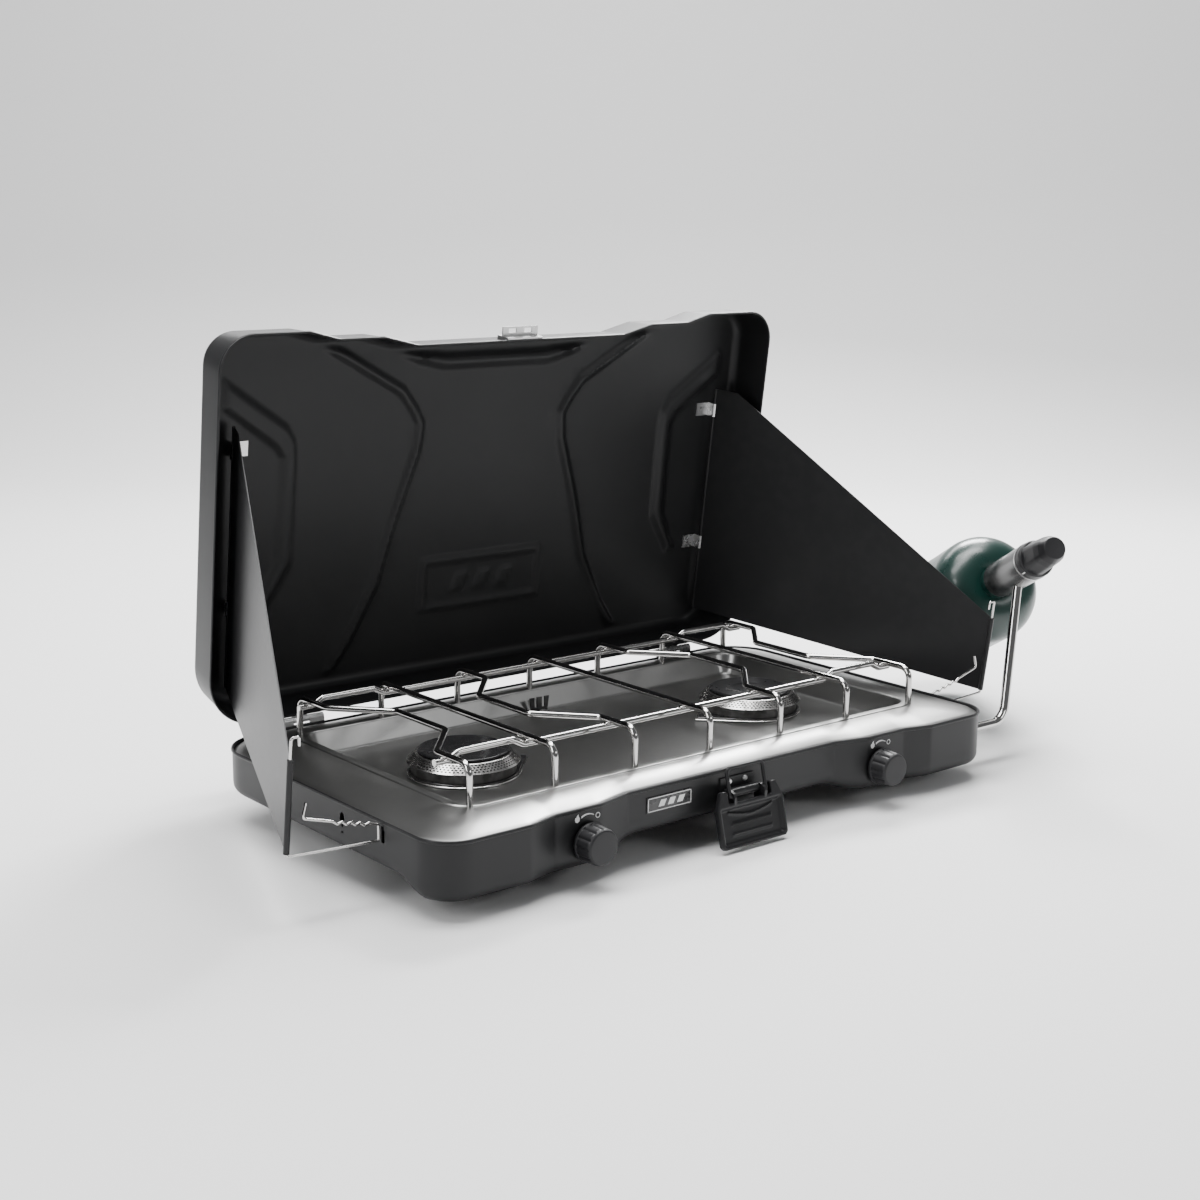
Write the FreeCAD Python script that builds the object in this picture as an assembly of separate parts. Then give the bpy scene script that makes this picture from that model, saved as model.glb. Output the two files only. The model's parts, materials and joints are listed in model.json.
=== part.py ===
import FreeCAD, Part
import math
import os

os.makedirs("parts", exist_ok=True)

# Two-burner propane camping stove, open for cooking, in millimetres.
# X runs along the stove, -Y is the side the cook stands at, +Z is up.
# The origin is the middle of the case's footprint, on the surface that the stove stands on.

# ---- overall sizes ----
case_length = 562.0
case_depth = 312.0
case_height = 45.3          # from the underside of the case to its lip
foot_height = 12.5
sheet = 1.0                 # steel of the case, lid and cooktop
front_corner = 28.0
back_corner = 42.0
hem = 1.0                   # how far a rolled edge stands out
hem_height = 3.0
fit = 0.05                  # radial clearance of a shaft in its bore
gap = 0.3                   # clearance between pieces that only lie near each other

# ---- stepped front of case and lid ----
first_slope = 25.6
knob_flat = 41.5            # flat that a knob stands on
knob_flat_out = 29.0        # from the knob to the outer end of its flat
second_slope = 31.2
first_step = 6.9
second_step = 7.8
base_chamfer = 8.0
arch_height = 10.0          # the middle of the base is raised
arch_slope = 42.0
side_rise = 9.0             # the base stands on two pads at its front corners; the rest is raised
pad_depth = 24.0
pad_slope = 32.0
lid_depth = 40.0
lid_draft = 3.0
lid_crown = 8.0             # height of the rounded shoulder round the lid's panel
lid_crown_inset = 6.0

# ---- feet ----
foot_r = 9.0
foot_screw_r = 2.0
foot_inset_x = 66.0         # from the case's end
foot_inset_y = 70.0         # from the case's front and back

# ---- lid hinge ----
hinge_behind = 4.1          # hinge axis behind the case
hinge_above = 3.4           # hinge axis above the case's lip
lid_open = 82.6             # degrees from closed
hinge_inset = 81.0          # from the end of the case to the middle of a hinge
knuckle_r = 2.8
hinge_pin_r = 1.5
leaf_width = 42.0
leaf_thick = 1.2

# ---- cooktop ----
ridge_in_x = 45.0           # ridge's outer edge, in from the case's end
ridge_in_front = 39.0
ridge_in_back = 34.0
ridge_width = 8.0
ridge_height = 51.5         # top of the ridge above the case's underside
shoulder_drop = 7.0
well_floor = 33.0
well_slope = 7.0

# ---- burners ----
burner_y = 2.0
trim_r = 44.0
trim_thick = 3.2
trim_reach = 62.0
bowl_r = 36.0
bowl_wall = 2.5
bowl_bottom = 14.0
bowl_flange_r = 40.5
ring_base = 44.0            # bottom of the perforated ring above the case's underside
ring_top = 51.0
ring_top_r = 36.6
ring_wall = 0.9
cap_r = 35.0
cap_thick = 2.5
tube_r = 7.5
tube_wall = 1.2
tube_z = 23.0

# ---- gas train ----
gas_z = 19.4
valve_width = 16.0
valve_back = 38.0           # back of a valve, behind the case's front
valve_height = 15.0
stem_r = 3.0
knob_r = 14.2
knob_face_r = 13.2
knob_length = 17.5
knob_gap = 1.6
pipe_r = 4.0
pipe_wall = 0.8
fitting_neck_r = 6.0
fitting_length = 18.0
inlet_y = 31.5              # gas inlet behind the case's front
seat_past_pipe = 50.0       # regulator's mouth, out past the level run of the supply pipe
pipe_bend = 18.0
regulator_r = 16.5
regulator_length = 66.0
grip_length = 46.0
thread_r = 12.5
thread_length = 12.0
cylinder_r = 49.5
cylinder_length = 203.0
cylinder_wall = 1.0
cylinder_turn = 26.6        # degrees that the cylinder points outwards
cylinder_dip = 24.8         # degrees that it slopes down towards its base
seat_past_screen = 0.9      # regulator's mouth, out past the open screen's spread
seat_back = 81.6            # and behind the case's front
seat_height = 131.0
pipe_at = 40.0              # from the regulator's mouth to the supply pipe

# ---- grate ----
wire_r = 2.5
end_wire_in = 56.0          # from the case's end to the outermost cross wire
grate_top = 82.9
grate_leg_in_front = 44.5   # front legs, behind the case's front
grate_leg_in_back = 39.0
grate_bend = 9.0
jog = 37.0
jog_slope = 42.0
jog_in = 40.0               # from a leg's corner to where a jog starts
leg_seat = 1.6
rail_in_front = 76.0
rail_in_back = 51.0
weld_sink = 0.2             # how far a rail sinks into the wires it is welded to

# ---- latch ----
latch_pivot_out = 8.7       # pivot in front of the middle of the case's front
latch_pivot_z = 28.0
latch_tilt = 14.0
lever_length = 40.0
lever_half = 34.0
lever_top_half = 28.0
lever_plate = 2.0
lever_top = -3.0            # the lever's shoulders reach this far past its pivot
lever_notch = 22.0
lever_rim = 2.6
lever_rim_width = 3.4
barrel_r = 3.2
barrel_half = 14.0
ear_thick = 2.4
latch_pin_r = 1.5
bail_r = 1.5
bail_out = 5.0              # bail's pivot in front of the lever's
bail_height = 21.0

# ---- windscreens ----
screen_hinge_in = 30.2      # from the case's end
screen_hinge_off = 31.9     # behind the lid's rim
screen_swing = 20.6         # degrees that the screens stand outwards
screen_reach_less = 19.0    # case depth less the screen's reach
screen_top_less = 73.2      # case depth less the top of the screen
screen_low_back = 25.0
screen_low_front = 18.5
screen_front_top = 86.0
screen_flat = 22.7
screen_thick = 0.8
screen_rod_r = 1.4
clip_length = 12.0
clip_places = (91.0, 219.0)
clip_plate = 14.0
clip_thick = 1.0
slit_spread = 34            # degrees that a clip is open to each side of its screen
screen_wire_r = 1.0
front_hem_r = 2.2
side_gap = 2.2              # from the case's side to the end of a screen wire
slot_width = 4.0

# ---- worked out from the above ----
half = case_length / 2
front = -case_depth / 2
back = case_depth / 2
base = foot_height
lip = base + case_height
pitch = (half - end_wire_in) / 3      # between cross wires; a burner sits under the second from each end
burner_x = 2 * pitch
fold_2 = burner_x + knob_flat_out
fold_1 = fold_2 + first_slope
fold_3 = fold_2 - knob_flat
fold_4 = fold_3 - second_slope
knob_front = front + first_step
middle_front = knob_front + second_step
screen_spread = (case_depth - screen_reach_less) * math.sin(math.radians(screen_swing))
seat_out = screen_spread + seat_past_screen     # regulator's mouth, out from the case's end
pipe_run = seat_out - seat_past_pipe
hinge_y = back + hinge_behind
hinge_z = lip + hinge_above
X = FreeCAD.Vector(1, 0, 0)
Y = FreeCAD.Vector(0, 1, 0)
Z = FreeCAD.Vector(0, 0, 1)
ORIGIN = FreeCAD.Vector(0, 0, 0)
tilt = math.radians(lid_open)
ALONG = FreeCAD.Vector(0, -math.cos(tilt), math.sin(tilt))    # from the hinge towards the lid's free edge
BEHIND = FreeCAD.Vector(0, math.sin(tilt), math.cos(tilt))    # from the lid's rim towards its panel


def vec(x, y, z):
    return FreeCAD.Vector(x, y, z)


def box(x0, x1, y0, y1, z0, z1):
    """A block between two corners."""
    return Part.makeBox(x1 - x0, y1 - y0, z1 - z0, vec(x0, y0, z0))


def rod(start, direction, length, radius):
    return Part.makeCylinder(radius, length, start, direction)


def cone(start, direction, length, r0, r1):
    return Part.makeCone(r0, r1, length, start, direction)


def polygon(points):
    return Part.makePolygon(list(points) + [points[0]])


def slab(points, direction):
    """A flat outline pushed along a direction."""
    return Part.Face(polygon(points)).extrude(direction)


def loft(*wires):
    """Straight-sided solids through outlines that have the same number of edges."""
    solids = [Part.makeLoft([a, b], True, True) for a, b in zip(wires, wires[1:])]
    whole = solids[0]
    for s in solids[1:]:
        whole = whole.fuse(s)
    return whole.removeSplitter()


def fuse(shapes):
    whole = shapes[0]
    for s in shapes[1:]:
        whole = whole.fuse(s)
    return whole.removeSplitter()


def mirrored(shape):
    return shape.mirror(ORIGIN, X)


def both_sides(shape):
    return Part.makeCompound([mirrored(shape), shape])


def case_outline(inset, z):
    """The case's outline seen from above, with its stepped front, moved in by inset."""
    h = half - inset
    yf = front + inset
    yb = back - inset
    rf = front_corner - inset
    rb = back_corner - inset
    s = math.sqrt(0.5)
    flats = [(-fold_1, yf), (-fold_2, yf + first_step), (-fold_3, yf + first_step),
             (-fold_4, yf + first_step + second_step)]
    steps = flats + [(-x, y) for x, y in reversed(flats)]
    line = [(-h + rf, yf)] + steps + [(h - rf, yf)]
    edges = [Part.LineSegment(vec(*a, z), vec(*b, z)).toShape() for a, b in zip(line, line[1:])]

    def corner(x, y, r, sx, sy):
        turn = [vec(x + sx * r, y, z), vec(x + sx * r * s, y + sy * r * s, z), vec(x, y + sy * r, z)]
        return turn if sx * sy > 0 else turn[::-1]

    arcs = [corner(h - rf, yf + rf, rf, 1, -1), corner(h - rb, yb - rb, rb, 1, 1),
            corner(-h + rb, yb - rb, rb, -1, 1), corner(-h + rf, yf + rf, rf, -1, -1)]
    last = vec(h - rf, yf, z)
    for a in arcs:
        if (a[0] - last).Length > 1e-6:
            edges.append(Part.LineSegment(last, a[0]).toShape())
        edges.append(Part.Arc(*a).toShape())
        last = a[2]
    return Part.Wire(edges)


def rounded_rectangle(x0, x1, y0, y1, r, z):
    s = math.sqrt(0.5)
    spots = [(x1 - r, y0 + r, 1, -1), (x1 - r, y1 - r, 1, 1),
             (x0 + r, y1 - r, -1, 1), (x0 + r, y0 + r, -1, -1)]
    arcs = []
    for x, y, sx, sy in spots:
        turn = [vec(x + sx * r, y, z), vec(x + sx * r * s, y + sy * r * s, z), vec(x, y + sy * r, z)]
        arcs.append(turn if sx * sy > 0 else turn[::-1])
    edges = []
    for i, a in enumerate(arcs):
        edges.append(Part.Arc(*a).toShape())
        edges.append(Part.LineSegment(a[2], arcs[(i + 1) % 4][0]).toShape())
    return Part.Wire(edges)


def bent_path(points, bends):
    """Straight runs through points, each inner corner rounded by its own radius."""
    edges = []
    last = points[0]
    for i in range(1, len(points) - 1):
        a = (points[i - 1] - points[i]).normalize()
        b = (points[i + 1] - points[i]).normalize()
        half_angle = a.getAngle(b) / 2
        reach = bends[i - 1] / math.tan(half_angle)
        start = points[i] + a * reach
        end = points[i] + b * reach
        middle = (a + b).normalize()
        top = points[i] + middle * (bends[i - 1] / math.sin(half_angle) - bends[i - 1])
        if (start - last).Length > 1e-6:
            edges.append(Part.LineSegment(last, start).toShape())
        edges.append(Part.Arc(start, top, end).toShape())
        last = end
    edges.append(Part.LineSegment(last, points[-1]).toShape())
    return Part.Wire(edges)


def bent_rod(points, bends, radius):
    """A round wire bent along a path."""
    path = bent_path(points, bends)
    circle = Part.Wire(Part.makeCircle(radius, points[0], points[1] - points[0]))
    return path.makePipeShell([circle], True, False)


def open_lid(shape):
    """Turns a piece drawn in the closed position up into the open lid."""
    turned = shape.copy()
    turned.rotate(vec(0, hinge_y, hinge_z), X, -lid_open)
    return turned


def lid_point(x, along, behind):
    return vec(x, hinge_y, hinge_z) + ALONG * along + BEHIND * behind


# ---- case ----
def make_case_bottom():
    """Pressed steel pan: stepped front, chamfered base, arched middle, rolled lip, side slots."""
    def pan(inset, low):
        high = low + side_rise
        deep = loft(case_outline(inset + base_chamfer, low), case_outline(inset, low + base_chamfer),
                    case_outline(inset, lip + 1))
        raised = loft(case_outline(inset + base_chamfer, high), case_outline(inset, high + base_chamfer),
                      case_outline(inset, lip + 1))
        pad_back = front + pad_depth - inset
        pads = slab([vec(-half - 1, front - 1, low - 1), vec(-half - 1, pad_back, low - 1),
                     vec(-half - 1, pad_back + pad_slope, high + base_chamfer),
                     vec(-half - 1, front - 1, high + base_chamfer)], X * (case_length + 2))
        arch_top = vec(fold_4 - arch_slope * 0.3 + inset, front - 1, low + arch_height)
        arch_foot = vec(fold_4 + inset, front - 1, low - 1)
        arch = slab([vec(-arch_foot.x, arch_foot.y, arch_foot.z), vec(-arch_top.x, arch_top.y, arch_top.z),
                     arch_top, arch_foot], Y * (case_depth + 2))
        return raised.fuse(deep.common(pads)).cut(arch)

    trim = box(-half - 9, half + 9, front - 9, back + 9, lip, lip + 9)
    outer = pan(0, base).cut(trim)
    roll = Part.Face(case_outline(-hem, lip - hem_height)).extrude(Z * hem_height)
    shell = outer.fuse(roll).cut(pan(sheet, base + sheet))
    holes = [rod(vec(s * burner_x, front, base + gas_z), Y, 12, stem_r + 1.2) for s in (-1, 1)]
    holes.append(rod(vec(half - 5, inlet_position(), base + gas_z), X, 10, fitting_neck_r + gap))
    holes += foot_places_rods(2.0)
    slot = screen_slot()
    keyhole = box(half - 3, half + 3, slot[0] + 49, slot[0] + 57, base + 24, base + 33)
    tip = slab([vec(half - 3, slot[0] + 49, base + 33), vec(half - 3, slot[0] + 57, base + 33),
                vec(half - 3, slot[0] + 53, base + 37.3)], X * 6)
    cut = box(half - 3, half + 3, slot[0] - slot_width / 2, slot[0] + slot_width / 2, slot[1], slot[2])
    for s in (keyhole, tip, cut):
        holes += [s, mirrored(s)]
    return shell.cut(Part.makeCompound(holes))


# ---- feet ----

def foot_places():
    across = half - foot_inset_x
    along = case_depth / 2 - foot_inset_y
    return [(-across, -along), (-across, along), (across, -along), (across, along)]


def foot_places_rods(extra):
    return [rod(vec(x, y, base), Z, side_rise + sheet + extra, foot_screw_r + fit) for x, y in foot_places()]


def make_rubber_feet():
    """Four rubber buffers under the case."""
    feet = []
    for x, y in foot_places():
        foot = cone(vec(x, y, 0), Z, base + side_rise, foot_r - 1.2, foot_r)
        feet.append(foot.cut(rod(vec(x, y, 8), Z, base + side_rise, foot_screw_r)))
    return Part.makeCompound(feet)


def make_foot_screws():
    """Pan-head screws that hold the feet from inside the case."""
    screws = []
    for x, y in foot_places():
        top = base + side_rise + sheet
        shank = rod(vec(x, y, 8), Z, top - 8, foot_screw_r)
        head = rod(vec(x, y, top), Z, 2.2, 4.0)
        screws.append(shank.fuse(head))
    return Part.makeCompound(screws)


# ---- cooktop ----
def ridge(inset, z):
    """Outline of the ridge round the well, moved in and up."""
    side = half - ridge_in_x - inset
    y0 = front + ridge_in_front + inset
    y1 = back - ridge_in_back - inset
    return rounded_rectangle(-side, side, y0, y1, 24 - inset * 0.6, base + z)


def make_cooktop_panel():
    """Pressed drip pan: a shoulder inside the case's lip, a ridge for the grate, and a deep well."""
    def hill(drop):
        foot = ridge_height - shoulder_drop
        wide = rounded_rectangle(-half - 4, half + 4, front - 4, back + 4, back_corner, base + foot - drop)
        return loft(wide, ridge(0, ridge_height - drop))

    inner = Part.Face(case_outline(sheet + gap, base + 20)).extrude(Z * case_height)
    below = box(-999, 999, -999, 999, 0, base + ridge_height - shoulder_drop)
    shoulder = hill(0).cut(hill(sheet)).cut(below)
    shoulder = shoulder.common(inner)
    narrow = ridge_width + well_slope
    pan = loft(ridge(narrow - sheet, well_floor - sheet), ridge(ridge_width - sheet, ridge_height))
    hollow = loft(ridge(narrow, well_floor), ridge(ridge_width, ridge_height + 0.01))
    panel = shoulder.cut(pan).fuse(pan.cut(hollow))
    holes = [rod(vec(s * burner_x, burner_y, base + well_floor - 9), Z, 18, bowl_r + gap) for s in (-1, 1)]
    for x in wire_places():
        for y in (front + grate_leg_in_front, back - grate_leg_in_back):
            holes.append(rod(vec(x, y, base + ridge_height - 6), Z, 12, wire_r + fit))
    return panel.cut(Part.makeCompound(holes)).removeSplitter()


# ---- burners, drawn for the right one and mirrored ----
def make_burner_trim():
    """Bright drop-shaped plate round the burner, with its point towards the middle of the stove."""
    low = base + well_floor
    disc = rod(vec(burner_x, burner_y, low), Z, trim_thick, trim_r)
    turn = math.acos(trim_r / trim_reach)
    centre = vec(burner_x, burner_y, low)
    near = centre - X * trim_r * math.cos(turn)
    wide = Y * trim_r * math.sin(turn)
    point = slab([centre, near - wide, centre - X * trim_reach, near + wide], Z * trim_thick)
    return disc.fuse(point).cut(rod(vec(burner_x, burner_y, low - 1), Z, 9, bowl_r + gap)).removeSplitter()


def make_burner_body():
    """Cast bowl that the gas and air fill, with a flange that rests on the trim plate."""
    centre = vec(burner_x, burner_y, base + bowl_bottom)
    flange_low = well_floor + trim_thick
    bowl = rod(centre, Z, flange_low - bowl_bottom, bowl_r)
    flange = rod(vec(burner_x, burner_y, base + flange_low), Z, ring_base - flange_low, bowl_flange_r)
    hollow = rod(centre + Z * bowl_wall, Z, ring_base, bowl_r - bowl_wall)
    mouth = rod(vec(burner_x, burner_y - bowl_r - 5, base + tube_z), Y, bowl_r, tube_r - tube_wall)
    return bowl.fuse(flange).cut(hollow).cut(mouth).removeSplitter()


def make_burner_ring():
    """Perforated stainless ring, wider at the bottom."""
    low = vec(burner_x, burner_y, base + ring_base)
    high = ring_top - ring_base
    outer = cone(low, Z, high, trim_r, ring_top_r)
    inner = cone(low, Z, high, trim_r - ring_wall, ring_top_r - ring_wall)
    seat = rod(low, Z, 0.8, trim_r - 0.4).cut(rod(low, Z, 0.8, bowl_r - bowl_wall))
    return outer.cut(inner).fuse(seat).removeSplitter()


def make_burner_cap():
    """Black enamelled cap that closes the ring."""
    low = vec(burner_x, burner_y, base + ring_top)
    edge = cap_thick * 0.6
    disc = rod(low, Z, edge, cap_r)
    rounding = cone(low + Z * edge, Z, cap_thick - edge, cap_r, cap_r - 1.2)
    skirt_r = ring_top_r - ring_wall - 1.5
    skirt = rod(low - Z * 3, Z, 3, skirt_r).cut(rod(low - Z * 3, Z, 3, skirt_r - 2.0))
    return fuse([disc, rounding, skirt])


def make_mixing_tube():
    """Steel tube that draws in air behind the jet and leads it to the bowl."""
    start = vec(burner_x, front + valve_back + 3, base + tube_z)
    length = burner_y - start.y
    tube = rod(start, Y, length, tube_r).cut(rod(start, Y, length, tube_r - tube_wall))
    flare = cone(start - Y * 0.01, Y, 6, tube_r + 1.5, tube_r).cut(rod(start - Y, Y, 9, tube_r - tube_wall))
    return tube.fuse(flare).cut(rod(vec(burner_x, burner_y, base), Z, 60, bowl_r)).removeSplitter()


# ---- gas train ----


def inlet_position():
    return front + inlet_y


def make_valve():
    """Brass needle valve behind the front, with the bore for its stem and a jet at the back."""
    y0 = knob_front + sheet + gap
    y1 = front + valve_back
    x0 = burner_x - valve_width / 2
    z0 = base + gas_z - valve_height / 2
    body = box(x0, x0 + valve_width, y0, y1, z0, z0 + valve_height)
    jet = cone(vec(burner_x, y1, base + tube_z), Y, 2.5, 3.0, 1.6)
    bore = rod(vec(burner_x, y0 - 1, base + gas_z), Y, 15, stem_r + fit)
    return body.fuse(jet).cut(bore).removeSplitter()


def make_manifold_pipe():
    """Steel tube in two lengths: inlet to right valve, right valve to left valve."""
    at = burner_x + valve_width / 2
    short = half - sheet - 3 * gap - fitting_length - at
    long = 2 * (burner_x - valve_width / 2)
    pieces = []
    for x, length in ((at, short), (-long / 2, long)):
        start = vec(x, inlet_position(), base + gas_z)
        pieces.append(rod(start, X, length, pipe_r).cut(rod(start, X, length, pipe_r - pipe_wall)))
    return Part.makeCompound(pieces)


def make_inlet_fitting():
    """Brass fitting through the case's right side that the supply pipe pushes into."""
    x0 = half - sheet - 3 * gap - fitting_length
    body = rod(vec(x0, inlet_position(), base + gas_z), X, fitting_length, 7.5)
    neck_start = vec(x0 + fitting_length, inlet_position(), base + gas_z)
    neck = rod(neck_start, X, sheet + 3 * gap + 5, fitting_neck_r)
    bore = rod(vec(x0 + 3, inlet_position(), base + gas_z), X, 40, pipe_r + fit)
    return body.fuse(neck).cut(bore).removeSplitter()


def cylinder_axis():
    """The regulator's mouth, and the direction in which the gas cylinder points away from it."""
    turn = math.radians(cylinder_turn)
    dip = math.radians(cylinder_dip)
    mouth = vec(half + seat_out, front + seat_back, base + seat_height)
    away = vec(math.cos(dip) * math.sin(turn), math.cos(dip) * math.cos(turn), -math.sin(dip))
    return mouth, away


def make_supply_pipe():
    """Bright steel pipe from the inlet up to the regulator."""
    mouth, away = cylinder_axis()
    start = vec(half - 15, inlet_position(), base + gas_z)
    corner = vec(half + pipe_run, inlet_position(), base + gas_z)
    top = mouth - away * pipe_at
    points = [start, corner, top]
    pipe = bent_rod(points, [pipe_bend], pipe_r).cut(bent_rod(points, [pipe_bend], pipe_r - pipe_wall))
    return pipe.cut(rod(mouth, away * -1, regulator_length, regulator_r))


def make_regulator_body():
    """Pressure regulator housing with a threaded mouth for the cylinder."""
    mouth, away = cylinder_axis()
    body = rod(mouth, away * -1, regulator_length, regulator_r)
    return body.cut(rod(mouth + away, away * -1, thread_length + 2, thread_r + fit))


def make_regulator_ring():
    """Thin bright ring between housing and grip."""
    mouth, away = cylinder_axis()
    return rod(mouth - away * regulator_length, away * -1, 1.6, regulator_r + 0.3)


def make_regulator_grip():
    """Faceted moulded grip on the end of the regulator."""
    mouth, away = cylinder_axis()
    start = mouth - away * (regulator_length + 1.6)
    flange = rod(start, away * -1, 9, regulator_r)
    body = cone(start - away * 9, away * -1, grip_length - 16, regulator_r - 1.5, 12.5)
    end = cone(start - away * (grip_length - 7), away * -1, 7, 12.5, 9.5)
    grip = fuse([flange, body, end])
    side = away.cross(Z).normalize()
    other = away.cross(side)
    for i in range(6):
        a = math.radians(60 * i)
        out = side * math.cos(a) + other * math.sin(a)
        across = side * math.sin(a) * -1 + other * math.cos(a)
        centre = start - away * 11 + out * (regulator_r - 3.0)
        corner = centre - across * 4
        groove = slab([corner, corner + across * 8, corner + across * 8 + out * 9, corner + out * 9],
                      away * -grip_length)
        grip = grip.cut(groove)
    return grip


def make_gas_cylinder():
    """Disposable steel propane cylinder with domed ends and a threaded neck."""
    mouth, away = cylinder_axis()
    r = cylinder_r
    w = cylinder_wall
    dome = 30.0
    body_end = cylinder_length - 16

    def profile(s):
        """The bottle's outside, or its inside when s is the wall, turned about its axis."""
        top = vec(0, 0, 10 + s)
        neck = vec(16, 0, 10 + s)
        bulge = vec(16 + (r - 16 - s) * 0.74, 0, 10 + s + (dome - s) * 0.34)
        body_top = vec(r - s, 0, 10 + dome)
        body_low = vec(r - s, 0, body_end)
        turn_in = vec(r - s - 4, 0, body_end + 10 - s)
        foot = vec(r - 14, 0, cylinder_length - s)
        bottom = vec(0, 0, cylinder_length - s)
        edges = [Part.LineSegment(top, neck), Part.Arc(neck, bulge, body_top),
                 Part.LineSegment(body_top, body_low), Part.Arc(body_low, turn_in, foot),
                 Part.LineSegment(foot, bottom), Part.LineSegment(bottom, top)]
        face = Part.Face(Part.Wire([e.toShape() for e in edges]))
        return face.revolve(ORIGIN, Z, 360)

    shell = profile(0).cut(profile(w))
    shell = shell.fuse(rod(vec(0, 0, 0.6), Z, 10, 15.0))
    shell = shell.fuse(rod(vec(0, 0, -thread_length + 1), Z, thread_length, thread_r))
    shell = shell.cut(rod(vec(0, 0, -thread_length), Z, thread_length + 10 + 4, 4.0)).removeSplitter()
    turn = FreeCAD.Rotation(Z, away)
    shell.Placement = FreeCAD.Placement(mouth, turn)
    return shell


# ---- knobs ----
def make_knob_stem():
    """Steel spindle of a valve."""
    y0 = knob_front - knob_gap - knob_length + 4
    return rod(vec(burner_x, y0, base + gas_z), Y, knob_front + sheet + gap + 13 - y0, stem_r)


def make_knob():
    """Moulded knob with a skirt, a tapered body with grip flutes, and a bore for the spindle."""
    y1 = knob_front - knob_gap
    centre = vec(burner_x, y1, base + gas_z)
    skirt = rod(centre, Y * -1, 3.0, knob_r + 0.6)
    body = cone(centre - Y * 3, Y * -1, knob_length - 3, knob_r, knob_face_r)
    knob = skirt.fuse(body)
    for i in range(12):
        a = math.radians(30 * i)
        spot = centre - Y * 5 + (X * math.cos(a) + Z * math.sin(a)) * (knob_r + 1.4)
        knob = knob.cut(rod(spot, Y * -1, knob_length, 2.0))
    bore = rod(vec(burner_x, y1 - knob_length + 4, base + gas_z), Y, knob_length, stem_r)
    return knob.cut(bore).removeSplitter()


# ---- grate ----
def wire_places():
    return [pitch * i for i in range(-3, 4)]


def make_grate_wire(index):
    """One cross wire with a leg at each end; every other one steps aside round a burner."""
    x = wire_places()[index]
    shift = {0: jog, 2: -jog, 4: jog, 6: -jog}.get(index, 0)
    y0 = front + grate_leg_in_front
    y1 = back - grate_leg_in_back
    z = base + grate_top - wire_r
    foot = base + ridge_height - leg_seat
    points = [vec(x, y0, foot), vec(x, y0, z)]
    bends = [grate_bend]
    if shift:
        stops = [(y0 + jog_in, x), (y0 + jog_in + jog_slope, x + shift),
                 (y1 - jog_in - jog_slope, x + shift), (y1 - jog_in, x)]
        points += [vec(sx, sy, z) for sy, sx in stops]
        bends += [grate_bend] * 4
    points += [vec(x, y1, z), vec(x, y1, foot)]
    bends.append(grate_bend)
    return bent_rod(points, bends, wire_r)


def make_grate_rail(y):
    """Long wire welded under the middle cross wires and raised to their level between the outer ones."""
    high = base + grate_top - wire_r
    low = high - 2 * wire_r + weld_sink
    end = 3 * pitch + 8
    x1 = 3 * pitch - 4
    x2 = x1 - 9
    x4 = 2 * pitch + 5
    x3 = x4 + 9
    side = [(end, low), (x1, low), (x2, high), (x3, high), (x4, low)]
    points = [vec(-x, y, z) for x, z in side] + [vec(x, y, z) for x, z in reversed(side)]
    return bent_rod(points, [5.0] * 8, wire_r)


# ---- small fittings on the case ----
def make_transport_clip():
    """Black forked clip on the back of the well that the folded screens rest in."""
    y = back - ridge_in_back - ridge_width - well_slope - 3
    z = base + well_floor
    plate = slab([vec(-8, y, z), vec(8, y, z), vec(10, y, z + 14), vec(-10, y, z + 14)], Y * -1.5)
    slots = [box(s * 4 - 1.6, s * 4 + 1.6, y - 3, y + 3, z + 5, z + 15) for s in (-1, 1)]
    foot = box(-8, 8, y - 12, y - 1.5, z, z + 1.5)
    clip = plate.fuse(foot).cut(Part.makeCompound(slots))
    return clip.cut(rod(vec(0, y - 7, z - 1), Z, 5, 2.0)).removeSplitter()


def make_clip_screw():
    """Screw that holds the forked clip."""
    y = back - ridge_in_back - ridge_width - well_slope - 3
    z = base + well_floor
    shank = rod(vec(0, y - 7, z), Z, 1.5, 2.0)
    head = rod(vec(0, y - 7, z + 1.5), Z, 1.8, 3.6)
    return shank.fuse(head).removeSplitter()


def make_front_badge():
    """Plain rounded name plate on the middle of the front."""
    corners = rounded_rectangle(-22, 22, -6, 6, 3, 0)
    plate = Part.Face(corners).extrude(Z * 0.9)
    plate.rotate(ORIGIN, X, 90)
    plate.translate(vec(-67, middle_front, base + 31))
    return plate


# ---- latch ----
def latch_pivot():
    return vec(0, middle_front - latch_pivot_out, base + latch_pivot_z)


def lever_frame():
    """Directions down the lever and out of its face."""
    a = math.radians(latch_tilt)
    return vec(0, -math.sin(a), -math.cos(a)), vec(0, -math.cos(a), math.sin(a))


def make_latch_bracket():
    """Steel plate riveted to the front, with the barrel that the lever turns on."""
    p = latch_pivot()
    plate = box(-barrel_half - 3, barrel_half + 3, middle_front - 1.5, middle_front, p.z - 8, p.z + 10)
    barrel = rod(vec(-barrel_half, p.y, p.z), X, 2 * barrel_half, barrel_r)
    web = box(-barrel_half, barrel_half, p.y, middle_front - 1.4, p.z - 1.6, p.z + 1.6)
    return fuse([plate, barrel, web]).cut(rod(vec(-99, p.y, p.z), X, 198, latch_pin_r + fit))


def make_latch_rivets():
    p = latch_pivot()
    spots = [(-8, 6.5), (8, 6.5)]
    heads = [cone(vec(x, middle_front - 1.5, p.z + z), Y * -1, 1.2, 2.4, 1.5) for x, z in spots]
    return Part.makeCompound(heads)


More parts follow.
